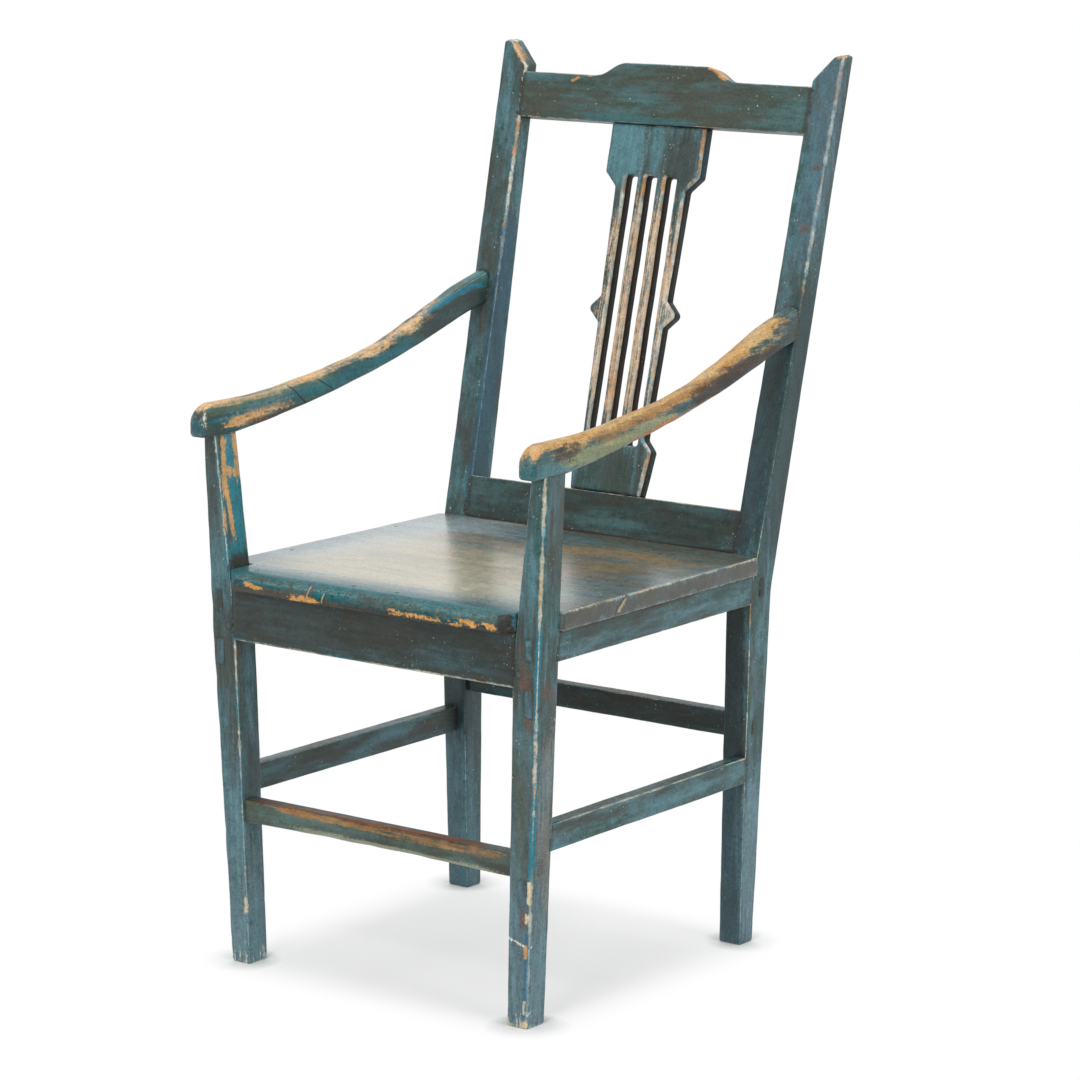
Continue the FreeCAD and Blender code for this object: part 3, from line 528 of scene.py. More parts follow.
# Front posts: a leg that runs on up as the arm's support, wider at the seat and tapered to foot and arm.
# One plank each, with the seat rails and stretchers tenoned in and the arm sitting on a tenon at the top.
teal = (26, 108, 126)
ivory = (210, 194, 158)
tan = (204, 156, 100)
front_post_marks = (
    ((44, 122, 136), (-217, -253, 590), (-204, -253, 480), (6, 22, 16), 1.6, 0.9),
    (tan, (-220, -264, 592), (-213, -267, 538), (6, 5, 10), 2.2, 0.9),
    (tan, (-218, -243, 594), (-215, -243, 560), (6, 4.4, 10), 2.4, 0.9),
    (tan, (-216, -259, 562), (-215, -250, 559), (6, 6.4, 6), 2.6, 0.9),
    (tan, (-212, -264, 534), (-208, -261, 496), (6, 4.2, 10), 2.6, 0.9),
    (tan, (-209, -271.5, 514), (-208, -272, 497), (6, 2.6, 6), 2.4, 0.8),
    (tan, (-208, -240, 511), (-205, -240, 475), (6, 1.6, 10), 1, 0.8),
    ((50, 48, 40), (-204, -252, 456), (8, 24, 14), 1.2, 0.8),
    ((102, 132, 142), (0, -270, -50), (1000, 1000, 400), 0.8, 0.8),
    # Painted shade: darkens the left front post's inner face below the seat.
    (painted_shade, (-183, -255, 220), (-180, -255, 400), (10, 20, 40), 0.8, 0.65),
    ((74, 82, 72), (206, -273.5, 310), (202, -272.5, 190), (12, 4, 30), 2.6, 0.6),
    ((124, 118, 110), (224, -250, 300), (220, -250, 150), (6, 12, 30), 2.6, 0.5),
    ((212, 210, 198), (0, -260, -10), (1000, 1000, 12), 6, 0.7),
    (teal, (222.5, -272.8, 240), (216.5, -272.2, 172), (3.4, 4, 12), 1.6, 0.8),
    ((34, 92, 124), (211, -271.3, 100), (206.6, -270.4, 16), (2, 4, 12), 1.8, 0.75),
    (ivory, (215.2, -272, 162), (214, -271.8, 143), (2.4, 4, 4), 2.6, 0.9),
    (ivory, (212.6, -271.6, 128), (211.8, -271.4, 120), (2.8, 4, 3), 2.6, 0.9),
    ((228, 224, 212), (189, -271.2, 98.5), (209, -271.2, 92.5), (4, 4, 1.1), 4, 0.9),
    (wood, (210.7, -271.1, 92), (210, -270.9, 82), (2.6, 4, 3), 2.2, 0.9),
    (ivory, (207, -270.4, 30), (206.8, -270.3, 20), (1.4, 4, 3), 2.4, 0.9),
    (ivory, (188.5, -270.2, 1), (191.2, -270.2, 3), (3, 4, 3.5), 2.2, 0.9),
    (ivory, (206, -270.2, 1), (208.5, -270.2, 5), (3, 4, 4), 2.2, 0.9),
    (ivory, (-187.8, -270.9, 76), (-188, -270.8, 62), (2, 4, 3), 2.4, 0.85),
    (ivory, (-189.5, -270.2, 1), (-188, -270.2, 10), (2.4, 4, 3), 2.4, 0.85),
    (rust, (207.4, -271.6, 131), (206.8, -271.6, 116), (3, 4, 4), 2.6, 0.7),
    (rust, (210.5, -274.6, 400), (211, -274.6, 380), (5, 4, 8), 3.4, 0.6),
    (rust, (217.5, -274.6, 372), (216.5, -274.6, 338), (3, 4, 8), 3.4, 0.6),
    (rust, (206, -274.6, 417), (5, 4, 4), 2.6, 0.6),
    (rust, (226.2, -260, 378), (226.2, -250, 366), (4, 6, 5), 3.6, 0.6),
)
front_post_paint = painted(
    "front_post_paint", wear=0.0044, fresh_share=0.48, grime_share=0.55, tints=front_post_marks,
)
arm_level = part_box("right_arm")[0].z
for side, outward in SIDES:
    support = worn_bar(
        side + "_front_post", (UP, outward, BACK), (0.0, arm_level + 0.003), (0.002, 0.0034, 0.002, 0.002),
        (0.8, 0.6, 0.3, 0.4) if side == "left" else (0.5, 1.3, 0.3, 0.4),
        clear=(0.0, arm_level), ends=(0.0025, 0.0), facets=(0.0, 0.5, 0.0, 0.0),
    )
    make_piece(side + "_front_post", [support], front_post_paint)

# Seat rails: four boards on edge between the posts, tenoned and pegged, which carry the seat board.
# The side rails' tenons run right through the front posts, and the rear rail's through the back posts.
rail_paint = painted(
    "rail_paint", paint=(36, 52, 48), blue=(56, 84, 88), grime=(42, 40, 33), grain=(9, 110, 150),
    flecks=0.9, wear=0.0034,
    tints=(((46, 46, 38), (-170, -270, 405), (20, -270, 405), (60, 30, 35), 1.4, 0.6),),
)
side_rail_paint = painted("side_rail_paint", grain=(110, 9, 150))


def between_posts(post, level):
    """The inner face of the right-hand post of a pair, at a height."""
    return reach_at("right_" + post, (UP, RIGHT, BACK), (level,))[0][0]


def driven_end(centre, outward, across, half):
    """The trimmed end of a tenon, peg or block: a worn, slightly pillowed oblong, just proud."""
    up = np.cross(outward, across)
    proud = 0.0003
    buried = 0.003
    turns = 24
    points = []
    arris = []
    for depth, share in ((-buried, 1.0), (0.0, 1.0), (proud * 0.7, 0.94), (proud, 0.8)):
        for step in range(turns):
            turn = step / turns * 2 * math.pi
            square = max(abs(math.cos(turn)), abs(math.sin(turn))) ** 0.75
            u = half[0] * share * math.cos(turn) / square
            w = half[1] * share * math.sin(turn) / square
            spot = Vector(centre + outward * depth + across * u + up * w)
            points.append(spot + noise.noise_vector(spot * 200.0) * 0.0002)
            arris.append(0.0008 if share > 0.9 else 0.002)
    faces = ring_faces(4, turns) + end_faces(3 * turns, turns, len(points))
    points.append(Vector(centre + outward * proud))
    arris.append(0.004)
    return {"points": points, "faces": faces, "arris": arris, "rub": [0.5] * len(points)}


def tenon_ends(node, axes, ends):
    """The ends of a CAD piece's through tenons, flush with the far faces of the posts."""
    along, across, up = axes
    lofts = []
    for place, outward in ends:
        low_u, high_u, low_w, high_w = reach_at(node, axes, (place - outward * 0.001,))[0]
        centre = along * place + across * (low_u + high_u) / 2 + up * (low_w + high_w) / 2
        half = ((high_u - low_u) / 2, (high_w - low_w) / 2)
        lofts.append(driven_end(centre, along * outward, across, half))
    return lofts


def cross_bar(node, post, level, arrises, rubs, finish, slot="frame_paint", axes=(RIGHT, BACK, UP),
              buried=0.004, shy=0.01, through=False, **form):
    """Makes a bar across the chair that runs a little into a pair of posts, or right through them.

    The level is the height at which the posts' inner faces are taken, and the form goes on to the bar."""
    half = between_posts(post, level)
    span = (-half - buried, half + buried)
    lofts = [worn_bar(node, axes, span, arrises, rubs, clear=(shy - half, half - shy), **form)]
    if through:
        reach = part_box(node)[1].x
        lofts.extend(tenon_ends(node, axes, ((-reach, -1), (reach, 1))))
    make_piece(node, lofts, finish)


cross_bar(
    "front_seat_rail", "front_post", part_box("front_seat_rail")[0].z, (0.0022, 0.001, 0.001, 0.001),
    (1.3, 0.3, 0.0, 0.0), rail_paint, sides=(3, 8),
)
cross_bar(
    "rear_seat_rail", "back_post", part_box("rear_seat_rail")[1].z, (0.0015, 0.0015, 0.001, 0.001),
    (0.4, 0.4, 0.0, 0.0), rail_paint, through=True,
)
front_post_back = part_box("right_front_post")[1].y
back_post_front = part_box("right_back_post")[0].y
side_buried = 0.004
side_span = (front_post_back - side_buried, back_post_front + side_buried)
for side, outward in SIDES:
    node = side + "_side_seat_rail"
    axes = (BACK, outward, UP)
    side_rail = worn_bar(
        node, axes, side_span, (0.0015, 0.002, 0.001, 0.001), (0.3, 0.7, 0.0, 0.0), sides=(3, 5),
        clear=(front_post_back + 0.003, back_post_front - 0.003),
    )
    through = tenon_ends(node, axes, ((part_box(node)[0].y, -1),))
    make_piece(node, [side_rail, *through], side_rail_paint)

# Stretchers: plain bars low between the legs, tenoned in. The front one is hollowed along both front edges
# with a drawknife and has been rubbed by feet down to brown wood along its upper facet.
for side, outward in SIDES:
    node = side + "_side_stretcher"
    stretcher = worn_bar(
        node, (BACK, outward, UP), side_span, (0.0015, 0.0018, 0.0022, 0.0015),
        (0.3, 0.3, 1.5 if side == "right" else 0.8, 0.4), sides=(3, 4),
        clear=(front_post_back + 0.006, back_post_front - 0.003),
    )
    make_piece(node, [stretcher], side_rail_paint)
cross_bar(
    "rear_stretcher", "back_post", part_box("rear_stretcher")[0].z, (0.0015, 0.0015, 0.0015, 0.0018),
    (0.3, 0.3, 0.3, 0.5), rail_paint, through=True, sides=(3, 4),
)
foot_rub_paint = painted(
    "foot_rub_paint", paint=(66, 82, 70), blue=(82, 108, 104), grain=(8, 90, 120), wood=(138, 86, 46),
    undercoat=(158, 140, 96), wear=0.003, fresh_share=0.2,
    rubs=(
        ((-120, -264, 188.5), (130, -264, 188), (30, 10, 5.2), 1, 0.8),
        ((20, -266, 186), (150, -266, 186), (30, 10, 4.5), 1.2, 0.7),
    ),
    tints=(
        ((146, 148, 118), (-100, -264, 168), (140, -264, 168), (30, 10, 4.5), 1.4, 0.75),
        ((118, 66, 38), (-160, -260, 191.5), (120, -260, 191.5), (30, 10, 4), 2, 0.8),
        ((84, 96, 96), (220, -250, 180), (12, 30, 40), 0.2, 0.9),
        (rust, (220, -250, 186), (220, -250, 170), (10, 6, 6), 3, 0.6),
    ),
)
foot_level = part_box("front_stretcher")[0].z
square_end = 0.022
hollow_half = between_posts("front_post", foot_level) - square_end


def hollow(place):
    """The drawn-off facet's width: a small arris at the square ends, and full in the middle."""
    return 0.0016 + 0.0058 * max(0.0, 1 - (abs(place) / hollow_half) ** 2)


cross_bar(
    "front_stretcher", "front_post", foot_level, (hollow, 0.0015, 0.0015, hollow), (0.4, 0.3, 0.3, 0.5),
    foot_rub_paint, through=True, sides=(4, 4), facets=(0.8, 0.0, 0.0, 0.8),
)

# Seat board: a plank nailed on the rails and notched round the front posts, its front lip rounded over.
# Sitting has worn the middle through the paint to cream and polished it, and knocks have chipped the lip.
cream = (194, 180, 142)
chip = (204, 150, 86)
seat_marks = (
    ((160, 172, 174), (-200, -140, 455), (-150, 90, 455), (120, 110, 20), 0.9, 0.8),
    (cream, (-100, -180, 455), (80, -180, 455), (140, 120, 20), 0.6, 0.9),
    (cream, (-100, -70, 455), (30, -90, 455), (120, 130, 20), 0.6, 0.8),
    ((150, 112, 72), (-110, 30, 455), (-50, 22, 455), (50, 22, 20), 1.6, 0.4),
    ((142, 118, 76), (80, -90, 455), (170, 40, 455), (50, 50, 20), 2, 0.6),
    ((158, 128, 82), (20, 40, 455), (100, 60, 455), (60, 30, 20), 2, 0.65),
    ((112, 80, 58), (-180, 136, 455), (180, 136, 455), (20, 4, 10), 1.2, 0.7),
    ((120, 92, 62), (-80, -100, 455), (150, -60, 455), (60, 90, 20), 5, 0.4),
    ((96, 140, 150), (-100, -160, 455), (160, -160, 455), (50, 90, 20), 5, 0.25),
    ((40, 88, 94), (-180, -280, 455), (180, -280, 455), (30, 30, 30), 1.2, 0.85),
    ((46, 100, 108), (-190, -270, 455), (190, -270, 455), (30, 30, 30), 3.6, 0.75),
    ((52, 96, 104), (-222, -200, 455), (-226, -80, 455), (30, 60, 30), 3, 0.6),
    ((28, 58, 60), (-170, -290, 442), (180, -290, 442), (20, 16, 14), 1, 0.95),
    ((26, 112, 124), (-170, -288, 447), (170, -288, 447), (30, 14, 13), 3, 0.95),
    # Painted highlight: a pale broken line along the lip's rounded top.
    ((170, 190, 176), (-170, -288, 448), (170, -288, 448), (20, 10, 5), 6, 0.55),
    ((30, 38, 36), (-170, -289, 444), (170, -289, 444), (30, 12, 8), 6, 0.75),
    ((90, 64, 46), (-170, -289, 436), (180, -289, 436), (20, 12, 3.6), 3.6, 0.6),
    (chip, (-165, -289, 445), (-148, -289, 442), (5, 8, 2.4), 1.8, 0.95),
    (chip, (-90, -289, 437), (-68, -289, 436.5), (8, 8, 2.8), 3, 0.95),
    (chip, (50, -289, 438), (130, -289, 437), (10, 8, 2.6), 3.6, 0.95),
    (chip, (140, -289, 442), (156, -289, 438), (6, 8, 3), 2.6, 0.95),
    (chip, (172, -288, 441), (182, -287, 439), (5, 8, 3), 2.4, 0.95),
    (chip, (-75, -285, 450), (-76, -289, 440), (1, 6, 2), 1.2, 0.8),
    (chip, (-53, -287, 446), (-55, -289, 438), (1, 6, 2), 1.2, 0.8),
    ((52, 42, 34), (192, -283, 451), (192, -283, 437), (9, 10, 4), 1, 0.8),
    ((56, 56, 48), (237, -230, 444), (232, 125, 444), (3.5, 10, 11), 1.4, 0.8),
    ((40, 34, 28), (236, -122, 455), (236, -142, 444), (6, 1.4, 1.4), 0.5, 0.9),
    ((40, 34, 28), (236, -142, 444), (236, -146, 435), (6, 1.4, 1.4), 0.5, 0.9),
    (cream, (236, -126, 450), (236, -138, 440), (6, 2.2, 2.2), 1.6, 0.5),
)
seat_paint = painted(
    "seat_paint", paint=(66, 88, 90), blue=(92, 120, 128), grime=(84, 76, 58), grain=(6, 55, 60),
    gloss=0.24, wear=0.003, grime_share=0.4, flecks=0.6, wood=(200, 150, 90), bump=0.3, shine=0.12,
    polish=(-278, -225), tints=seat_marks,
)
seat_low, seat_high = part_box("seat_board")
lip = seat_low.y
seat = worn_bar(
    "seat_board", (BACK, RIGHT, UP), (lip + 0.0002, seat_high.y - 0.0002), (0.003, 0.003, 0.0025, 0.0025),
    (0.5, 0.5, 1.3, 0.6), sides=(90, 4), wander=0.0005, pace=0.0003,
    later_paces=((lip + 0.001, 0.0007), (lip + 0.005, 0.0015), (lip + 0.02, 0.005),
                 (front_post_back - 0.0065, 0.0008), (front_post_back + 0.003, 0.005),
                 (back_post_front - 0.003, 0.0008), (back_post_front + 0.008, 0.004)),
)
make_piece("seat_board", [seat], seat_paint)

# Arms: swept from one thick plank, sitting on the front posts and tenoned into the back posts.
# Hands have rounded them and rubbed the right one's top to ochre wood, and the left one's inner edge to tan.
ochre = (178, 130, 68)
dark_stain = (46, 36, 27)
right_arm_paint = painted(
    "right_arm_paint", grain=(120, 12, 100), wood=ochre, undercoat=(192, 166, 116), gloss=0.3,
    rubs=(
        ((238, -140, 644), (237, -10, 664), (8, 30, 11), 1.4, 0.75),
        ((236, -30, 658), (234, 80, 690), (8, 30, 7.5), 1.2, 0.95),
    ),
    tints=(
        ((134, 142, 106), (240, -220, 616), (238.5, -60, 632), (8, 40, 13), 1.6, 0.75),
        ((128, 86, 46), (239, -160, 634), (235, 90, 680), (8, 30, 6), 1.6, 0.6),
        (dark_stain, (237, 10, 652), (235, 150, 690), (6, 25, 11), 1.6, 0.85),
        (dark_stain, (241, -252, 623), (240.5, -224, 624), (6, 12, 8.5), 2.4, 0.75),
        ((70, 116, 122), (241, -285, 612), (241, -245, 608), (6, 10, 8), 2, 0.7),
        ((170, 98, 52), (239, -106, 622), (237, 30, 646), (8, 30, 4.5), 1.6, 0.8),
        ((36, 92, 98), (230, -298, 614), (14, 14, 17), 1, 0.9),
        ((200, 142, 98), (238.5, -294, 628), (239.5, -286, 633), (3, 5, 4), 1.6, 0.8),
    ),
    top_rub=(-0.2, 0.5, 1.15, 220, 120),
)
left_arm_paint = painted(
    "left_arm_paint", grain=(120, 12, 100), paint=(48, 92, 88), blue=(66, 122, 126), wood=(198, 150, 96),
    undercoat=(190, 176, 144), gloss=0.3,
    rubs=(
        ((-218, -240, 618), (-217, -165, 627), (8, 25, 8), 1.8, 1),
        ((-221, -270, 640), (-219, -130, 648), (10, 20, 4.5), 1.6, 0.8),
        ((-219, -140, 648), (-219, -10, 669), (10, 20, 6), 1.8, 0.8),
        ((-217.5, -10, 666), (-216.5, 85, 695), (10, 20, 8), 1.8, 0.9),
    ),
    tints=(
        ((90, 112, 92), (-219, -265, 630), (-218, -90, 644), (12, 30, 8), 1.8, 0.5),
        (teal, (-217, -270, 620), (-216.5, -130, 634), (10, 25, 5), 2, 0.7),
        (teal, (-216.5, -100, 636), (-214.5, 50, 666), (10, 25, 6), 2, 0.6),
        ((32, 112, 132), (-214, 70, 696), (-213, 175, 724), (10, 25, 4), 1.4, 0.8),
        (rust, (-216.5, -200, 612), (-216, -130, 619), (10, 20, 3), 2.4, 0.7),
        ((48, 62, 64), (-213, 100, 686), (-211.5, 180, 708), (12, 25, 14), 0.8, 0.75),
        (dark_stain, (-217.5, -150, 643), (-216.5, -126, 622), (8, 1.1, 1.1), 0.5, 0.9),
        (dark_stain, (-216.5, -104, 646), (-216, -78, 632), (8, 1, 1), 0.5, 0.9),
        ((34, 80, 92), (-230, -298, 612), (14, 10, 15), 0.8, 0.85),
        # Painted highlight: a near-white streak down the edge of the nose.
        ((226, 222, 208), (-220, -293, 632), (-219.5, -292, 618), (2, 4, 4), 2.4, 0.75),
    ),
    top_rub=(0.25, 0.9, 0.8, 140, 60),
)
rake = math.radians(14.1)
for side, outward, finish in (("left", -RIGHT, left_arm_paint), ("right", RIGHT, right_arm_paint)):
    node = side + "_arm"
    arm_low, arm_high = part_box(node)
    nose = arm_low.y + 0.0002
    rear = back_post_front + (arm_high.z - seat_high.z) * math.tan(rake) - 0.006
    arm = worn_bar(
        node, (BACK, outward, UP), (nose, rear + 0.014), (0.0045, 0.0045, 0.009, 0.009),
        (0.3, 0.4, 0.3, 0.3), clear=(nose, rear - 0.012), sides=(4, 4), ends=(0.003, 0.0),
        pace=0.0015, later_paces=((arm_low.y + 0.03, 0.005),), wander=0.0006,
    )
    make_piece(node, [arm], finish)

# Crest and lower back rails: boards set in the raked plane of the back, tenoned between the posts.
# The crest has a raised middle, and the lower one stands on the seat board and holds the splat's foot.
SLOPE = np.array((0.0, math.sin(rake), math.cos(rake)))
BEHIND = np.array((0.0, math.cos(rake), -math.sin(rake)))
crest_paint = painted(
    "crest_paint", grain=(9, 110, 150), grime_share=0.66, grime=(62, 58, 46), paint=(54, 76, 66),
    blue=(68, 108, 110), blue_share=0.6,
    tints=(
        ((52, 96, 100), (-90, 256, 925), (30, 256, 925), (30, 20, 7), 1.6, 0.7),
        (wood, (-132, 266, 967), (-124, 266, 970), (4, 20, 2.2), 1.6, 0.9),
        (wood, (-108, 266, 973), (-103, 266, 975), (4, 20, 2.2), 1.6, 0.9),
        (wood, (64, 270, 989), (86, 270, 978), (5, 20, 3), 1.8, 0.85),
    ),
)
lower_rail_paint = painted(
    "lower_rail_paint", paint=(40, 60, 56), blue=(64, 96, 96), grime=(46, 45, 37), flecks=1.0,
    grain=(9, 110, 150),
)
in_back = {"slot": "back_paint", "axes": (RIGHT, BEHIND, SLOPE), "buried": 0.006, "shy": 0.012}
cross_bar(
    "crest_rail", "back_post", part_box("crest_rail")[0].z + 0.02, (0.002, 0.0015, 0.002, 0.0024),
    (0.8, 0.3, 0.4, 0.6), crest_paint, sides=(3, 9), pace=0.003, **in_back,
)
cross_bar(
    "lower_back_rail", "back_post", seat_high.z + 0.03, (0.001, 0.001, 0.0018, 0.0018),
    (0.0, 0.0, 0.3, 0.6), lower_rail_paint, sides=(3, 8), **in_back,
)

# Splat: a thin board in the middle of the back, pierced with three slots and cut with two ears.
# The bars between the slots are rounded on the front and worn to bare wood, palest on their right edges,
# partly as a painted highlight, and the slots' sides carry painted shade in near black.
splat_paint = painted(
    "splat_paint", grain=(420, 60, 14), wear=0.0034, wood=(188, 140, 90), undercoat=(206, 202, 188),
    blue_share=0.6, fresh_share=0.0,
    rubs=(((0, 188, 620), (0, 222, 780), (105, 60, 85), 1.0, 0.85),),
    tints=(
        ((50, 55, 50), (42, 250, 895), (40, 240, 870), (22, 60, 30), 1.2, 0.75),
        ((84, 130, 138), (-36, 250, 900), (-40, 240, 870), (32, 60, 30), 1.2, 0.7),
        ((50, 66, 56), (0, 164, 520), (50, 60, 35), 1, 0.6),
    ),
)
# Painted shade: near-black paint for the walls of the slots and of the board's outline, lighter teal on its
# right-hand outer edge.
slot_shade_paint = painted(
    "slot_shade_paint", grain=(150, 40, 9), paint=(34, 34, 28), blue=(44, 50, 46), grime=(40, 30, 22),
    grime_share=0.65, wear=0.0, flecks=0.1, shine=0.06,
    tints=(((42, 68, 74), (70, 160, 480), (70, 280, 960), (32, 100, 100), 0.8, 0.8),),
)


def splat_loops(node, depth):
    """The outlines of the face of a CAD board that lies at a depth behind the back's front plane."""
    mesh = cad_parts[node].data
    spots = np.array([vertex.co for vertex in mesh.vertices])
    flat = [tuple(spot) for spot in np.round(np.stack((spots @ RIGHT, spots @ SLOPE), axis=1), 6)]
    edges = set()
    for face in mesh.polygons:
        corners = list(face.vertices)
        if np.ptp(spots[corners] @ BEHIND) < 2e-5 and abs((spots[corners] @ BEHIND).mean() - depth) < 2e-5:
            for start, stop in zip(corners, corners[1:] + corners[:1]):
                edge = (flat[start], flat[stop])
                if edge[::-1] in edges:
                    edges.remove(edge[::-1])
                else:
                    edges.add(edge)
    follows = dict(sorted(edges))
    loops = []
    while follows:
        loop = [next(iter(follows))]
        while loop[-1] in follows:
            loop.append(follows.pop(loop[-1]))
        loops.append(np.array(loop[:-1]))
    return loops


def worn_board(loops, front, back, ease, back_ease):
    """A board between two depths with given outlines, its edges rounded and worn most on the right, partly
    real wear and partly a painted highlight.
    """
    edge_pace = 0.003
    face_pace = 0.005
    runs = []
    for loop in loops:
        run = []
        for start, stop in zip(loop, np.roll(loop, -1, axis=0)):
            count = max(1, math.ceil(np.linalg.norm(stop - start) / edge_pace))
            run.extend(start + (stop - start) * step / count for step in range(count))
        runs.append(np.array(run))
    starts = np.concatenate(runs)
    stops = np.concatenate([np.roll(run, -1, axis=0) for run in runs])

    def nearest_edge(spots):
        along = stops - starts
        away = np.array(spots)[:, None] - starts
        share = np.clip((away * along).sum(2) / (along ** 2).sum(1), 0, 1)
        gaps = np.linalg.norm(away - along * share[..., None], axis=2)
        return gaps.min(1), gaps.argmin(1)

    def within(spot):
        level = (starts[:, 1] > spot[1]) != (stops[:, 1] > spot[1])
        rise = (spot[1] - starts[level, 1]) / (stops[level, 1] - starts[level, 1])
        crossing = starts[level, 0] + rise * (stops[level, 0] - starts[level, 0])
        return (crossing > spot[0]).sum() % 2 == 1

    normals = (stops - starts) / np.linalg.norm(stops - starts, axis=1)[:, None]
    normals = np.stack((-normals[:, 1], normals[:, 0]), axis=1)
    if not within((starts + stops)[0] / 2 + normals[0] * 1e-4):
        normals = -normals
    spots = list(starts)
    for share in (0.12, 0.35, 0.65, 1.0, 1.5):
        trial = (starts + stops) / 2 + normals * ease * share
        gaps = nearest_edge(trial)[0]
        spots.extend(spot for spot, gap in zip(trial, gaps) if gap > 0.93 * ease * share)
    low = starts.min(0)
    high = starts.max(0)
    for u in np.arange(low[0], high[0], face_pace):
        for w in np.arange(low[1], high[1], face_pace):
            spot = np.array((u, w))
            if within(spot) and nearest_edge([spot])[0][0] > 2.1 * ease:
                spots.append(spot)
    first = 0
    rim = []
    for run in runs:
        rim.extend((first + step, first + (step + 1) % len(run)) for step in range(len(run)))
        first += len(run)
    filled = geometry.delaunay_2d_cdt([Vector(spot) for spot in spots], rim, [], 0, 1e-7)
    flat = np.array([tuple(spot) for spot in filled[0]])
    triangles = [tuple(face) for face in filled[2] if within(flat[list(face)].mean(0))]
    gaps, nearest = nearest_edge(flat)
    # Right-hand edges wear most: real wear, and also a pale painted highlight along them.
    rub_and_highlight_side = [1.4 if normals[edge][0] < -0.4 else 0.3 for edge in nearest]
    points = []
    arris = []
    for depth, sign, radius in ((front, 1, ease), (back, -1, back_ease)):
        drop = radius - np.sqrt(np.maximum(0, radius ** 2 - np.maximum(0, radius - gaps) ** 2))
        for (u, w), fall, gap in zip(flat, drop, gaps):
            spot = Vector(RIGHT * u + BEHIND * (depth + sign * fall) + SLOPE * w)
            points.append(spot + noise.noise_vector(spot * 30.0) * 0.0004)
            arris.append(abs(gap - 0.3 * ease))
    count = len(flat)
    faces = triangles + [tuple(count + corner for corner in reversed(face)) for face in triangles]
    faces += [(stop, start, count + start, count + stop) for start, stop in rim]
    return {"points": points, "faces": faces, "arris": arris, "rub": rub_and_highlight_side * 2, "walls": len(rim)}


splat_depths = np.array([vertex.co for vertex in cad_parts["back_splat"].data.vertices]) @ BEHIND
splat_front = splat_depths.min()
splat_edges = splat_loops("back_splat", splat_front)
splat = worn_board(splat_edges, splat_front, splat_depths.max(), ease=0.0036, back_ease=0.001)
splat_piece = make_piece("back_splat", [splat], splat_paint)
# The walls take the painted-shade paint.
splat_piece.data.materials.append(slot_shade_paint)
for face in list(splat_piece.data.polygons)[-splat["walls"]:]:
    face.material_index = 1

# Pegs, plugs and nails: riven pegs driven through the tenons and trimmed flush, thin blocks that fill older
# mortises in the front posts, and cut nails through the seat.
peg_paint = painted(
    "peg_paint", paint=(64, 96, 104), blue=(84, 124, 138), undercoat=(150, 140, 118), wood=(70, 52, 40),
    joint_grime=0.0, wear=0.0012, grime_share=0.45, fresh_share=0.0,
)


def solids_of(node):
    """The boxes of a CAD node's separate solids."""
    bits = bmesh.new()
    bits.from_mesh(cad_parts[node].data)
    bmesh.ops.remove_doubles(bits, verts=bits.verts, dist=1e-6)
    boxes = []
    left = set(bits.verts)
    while left:
        solid = [left.pop()]
        for vertex in solid:
            for edge in vertex.link_edges:
                other = edge.other_vert(vertex)
                if other in left:
                    left.remove(other)
                    solid.append(other)
        spots = np.array([vertex.co for vertex in solid])
        boxes.append((spots.min(0), spots.max(0)))
    bits.free()
    return sorted(boxes, key=lambda box: tuple(box[0]))


for node, facing in (
    ("front_rail_pegs", -BACK), ("side_stretcher_pegs", -BACK), ("front_post_plugs", -BACK),
    ("arm_front_pegs", None), ("arm_rear_pegs", None), ("seat_nails", UP),
):
    ends = []
    for low, high in solids_of(node):
        middle = (low + high) / 2
        outward = -RIGHT * np.sign(middle[0]) if facing is None else facing
        across = BACK if facing is None else RIGHT
        size = (high - low) / 2
        centre = middle + outward * (np.abs(outward) @ size)
        half = (np.abs(across) @ size, np.abs(np.cross(outward, across)) @ size)
        ends.append(driven_end(centre, outward, across, half))
    if node == "seat_nails":
        make_piece(node, ends, seat_paint)
    else:
        make_piece(node, ends, peg_paint)

# Studio: a plain white floor and surround, with broad soft lights in front, above and to the right.
# The floor is darker under the chair and round its feet, and the camera stands where the photo's did.
floor_mesh = bpy.data.meshes.new("floor")
floor_half = 30.0
floor_corners = [(x * floor_half, y * floor_half, 0.0) for x, y in ((-1, -1), (1, -1), (1, 1), (-1, 1))]
floor_mesh.from_pydata(floor_corners, [], [(0, 1, 2, 3)])
floor = add_object("floor", floor_mesh)
floor_paint = bpy.data.materials.new("floor_paint")
floor_paint.use_nodes = True
tree = floor_paint.node_tree
shader = tree.nodes["Principled BSDF"]
shader.inputs["Base Color"].default_value = (0.9, 0.9, 0.9, 1.0)
shader.inputs["Roughness"].default_value = 0.9
shader.inputs["Specular IOR Level"].default_value = 0.0
place = put(tree, "TexCoord").outputs["Object"]
spot = put(tree, "SeparateXYZ", {0: place})
middle = (front_post_back + back_post_front) / 2
foot_aside = 0.198
foot_along = 0.197
shade_full = 0.17
shade_gone = 0.27
shade_strength = 0.52
foot_shade_full = 0.015
foot_shade_gone = 0.06
off_side = sums("ABSOLUTE", spot.outputs["X"])
off_middle = sums("ABSOLUTE", plus(spot.outputs["Y"], -middle))
under = times(fade(off_side, shade_gone, shade_full), fade(off_middle, shade_gone, shade_full))
foot_out = sums("POWER", plus(off_side, -foot_aside), 2.0)
foot_ahead = sums("POWER", plus(off_middle, -foot_along), 2.0)
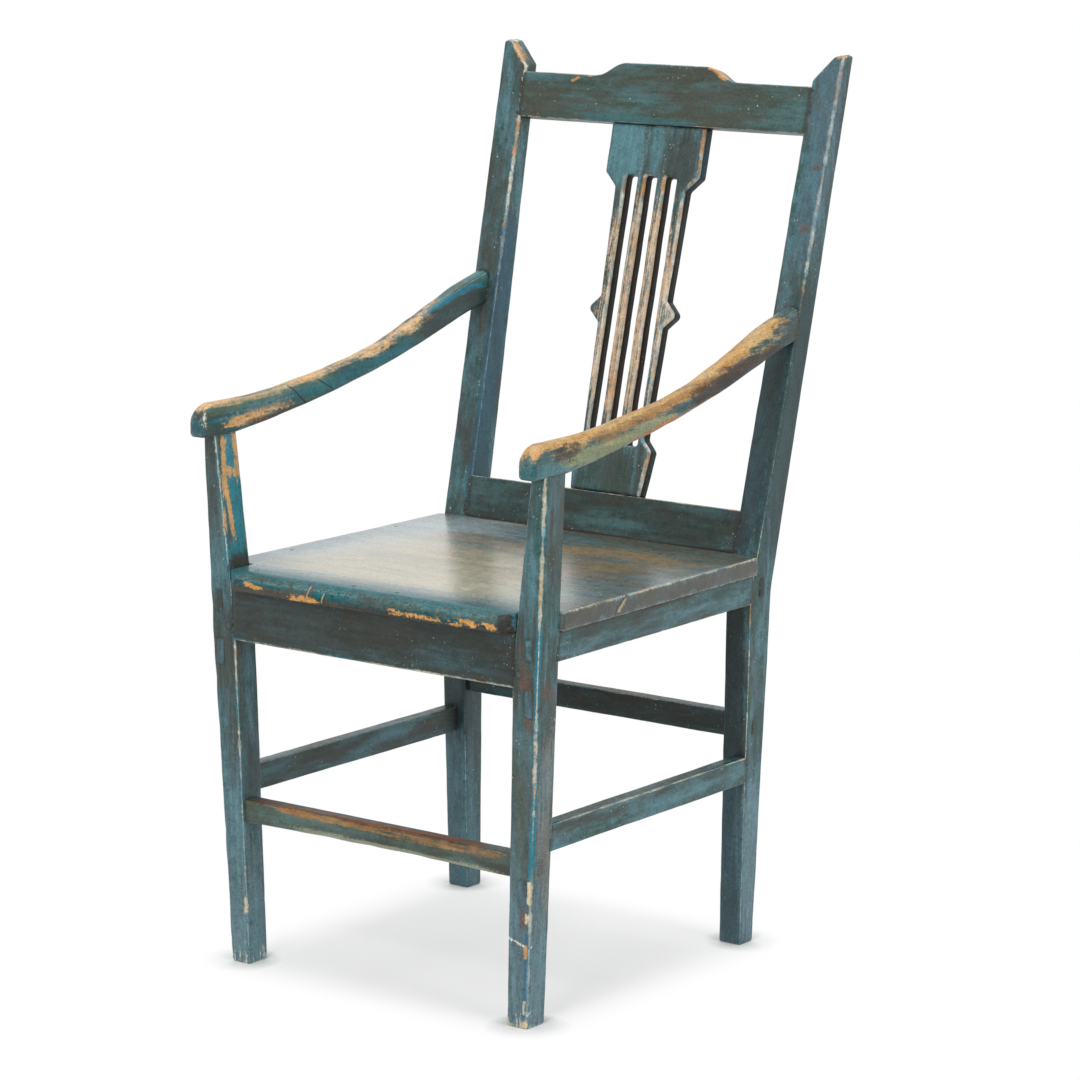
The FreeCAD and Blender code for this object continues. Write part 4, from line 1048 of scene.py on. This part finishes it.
foot_shade = fade(sums("SQRT", plus(foot_out, foot_ahead)), foot_shade_gone, foot_shade_full)
shaded = sums("MAXIMUM", times(under, shade_strength), foot_shade)
seen = put(tree, "LightPath").outputs
open_floor = sums("MAXIMUM", seen["Is Camera Ray"], seen["Is Glossy Ray"])
open_floor = times(open_floor, sums("SUBTRACT", 1.0, shaded))
white = put(tree, "Emission", {"Color": (1.0, 1.0, 1.0, 1.0), "Strength": 1.0})
both = put(tree, "MixShader", {0: open_floor, 1: shader.outputs[0], 2: white.outputs[0]})
tree.links.new(both.outputs[0], tree.nodes["Material Output"].inputs["Surface"])
floor_mesh.materials.append(floor_paint)

world = bpy.data.worlds.new("studio")
bpy.context.scene.world = world
world.use_nodes = True
tree = world.node_tree
seen = put(tree, "LightPath").outputs
shown = sums("MAXIMUM", seen["Is Camera Ray"], seen["Is Glossy Ray"])
shown = sums("MAXIMUM", shown, seen["Is Transmission Ray"])
fill = 0.5
strength = weigh(shown, 1.0 - fill, fill)
tree.links.new(strength, tree.nodes["Background"].inputs["Strength"])
tree.nodes["Background"].inputs["Color"].default_value = (1.0, 1.0, 1.0, 1.0)

aim = Vector((0.0, 0.0, 0.45))
for name, spot, power, size in (
    ("key", (0.6, -3.4, 2.6), 66.0, 1.6), ("side", (3.6, -0.4, 2.2), 50.0, 1.6),
    ("top", (-0.6, 0.8, 3.6), 50.0, 2.0),
):
    lamp = bpy.data.lights.new(name, "AREA")
    lamp.energy = power
    lamp.size = size
    holder = add_object(name, lamp)
    holder.location = spot
    holder.rotation_euler = (aim - Vector(spot)).to_track_quat("-Z", "Y").to_euler()

camera = bpy.data.cameras.new("camera")
camera.sensor_width = 36.0
camera.lens = 131.8
eye = add_object("camera", camera)
eye.location = (2.6866, -3.4884, 1.3098)
view_line = Vector((-0.59616, 0.78064, -0.18759))
eye.rotation_euler = view_line.to_track_quat("-Z", "Y").to_euler()
bpy.context.scene.camera = eye
bpy.context.scene.view_settings.view_transform = "Standard"
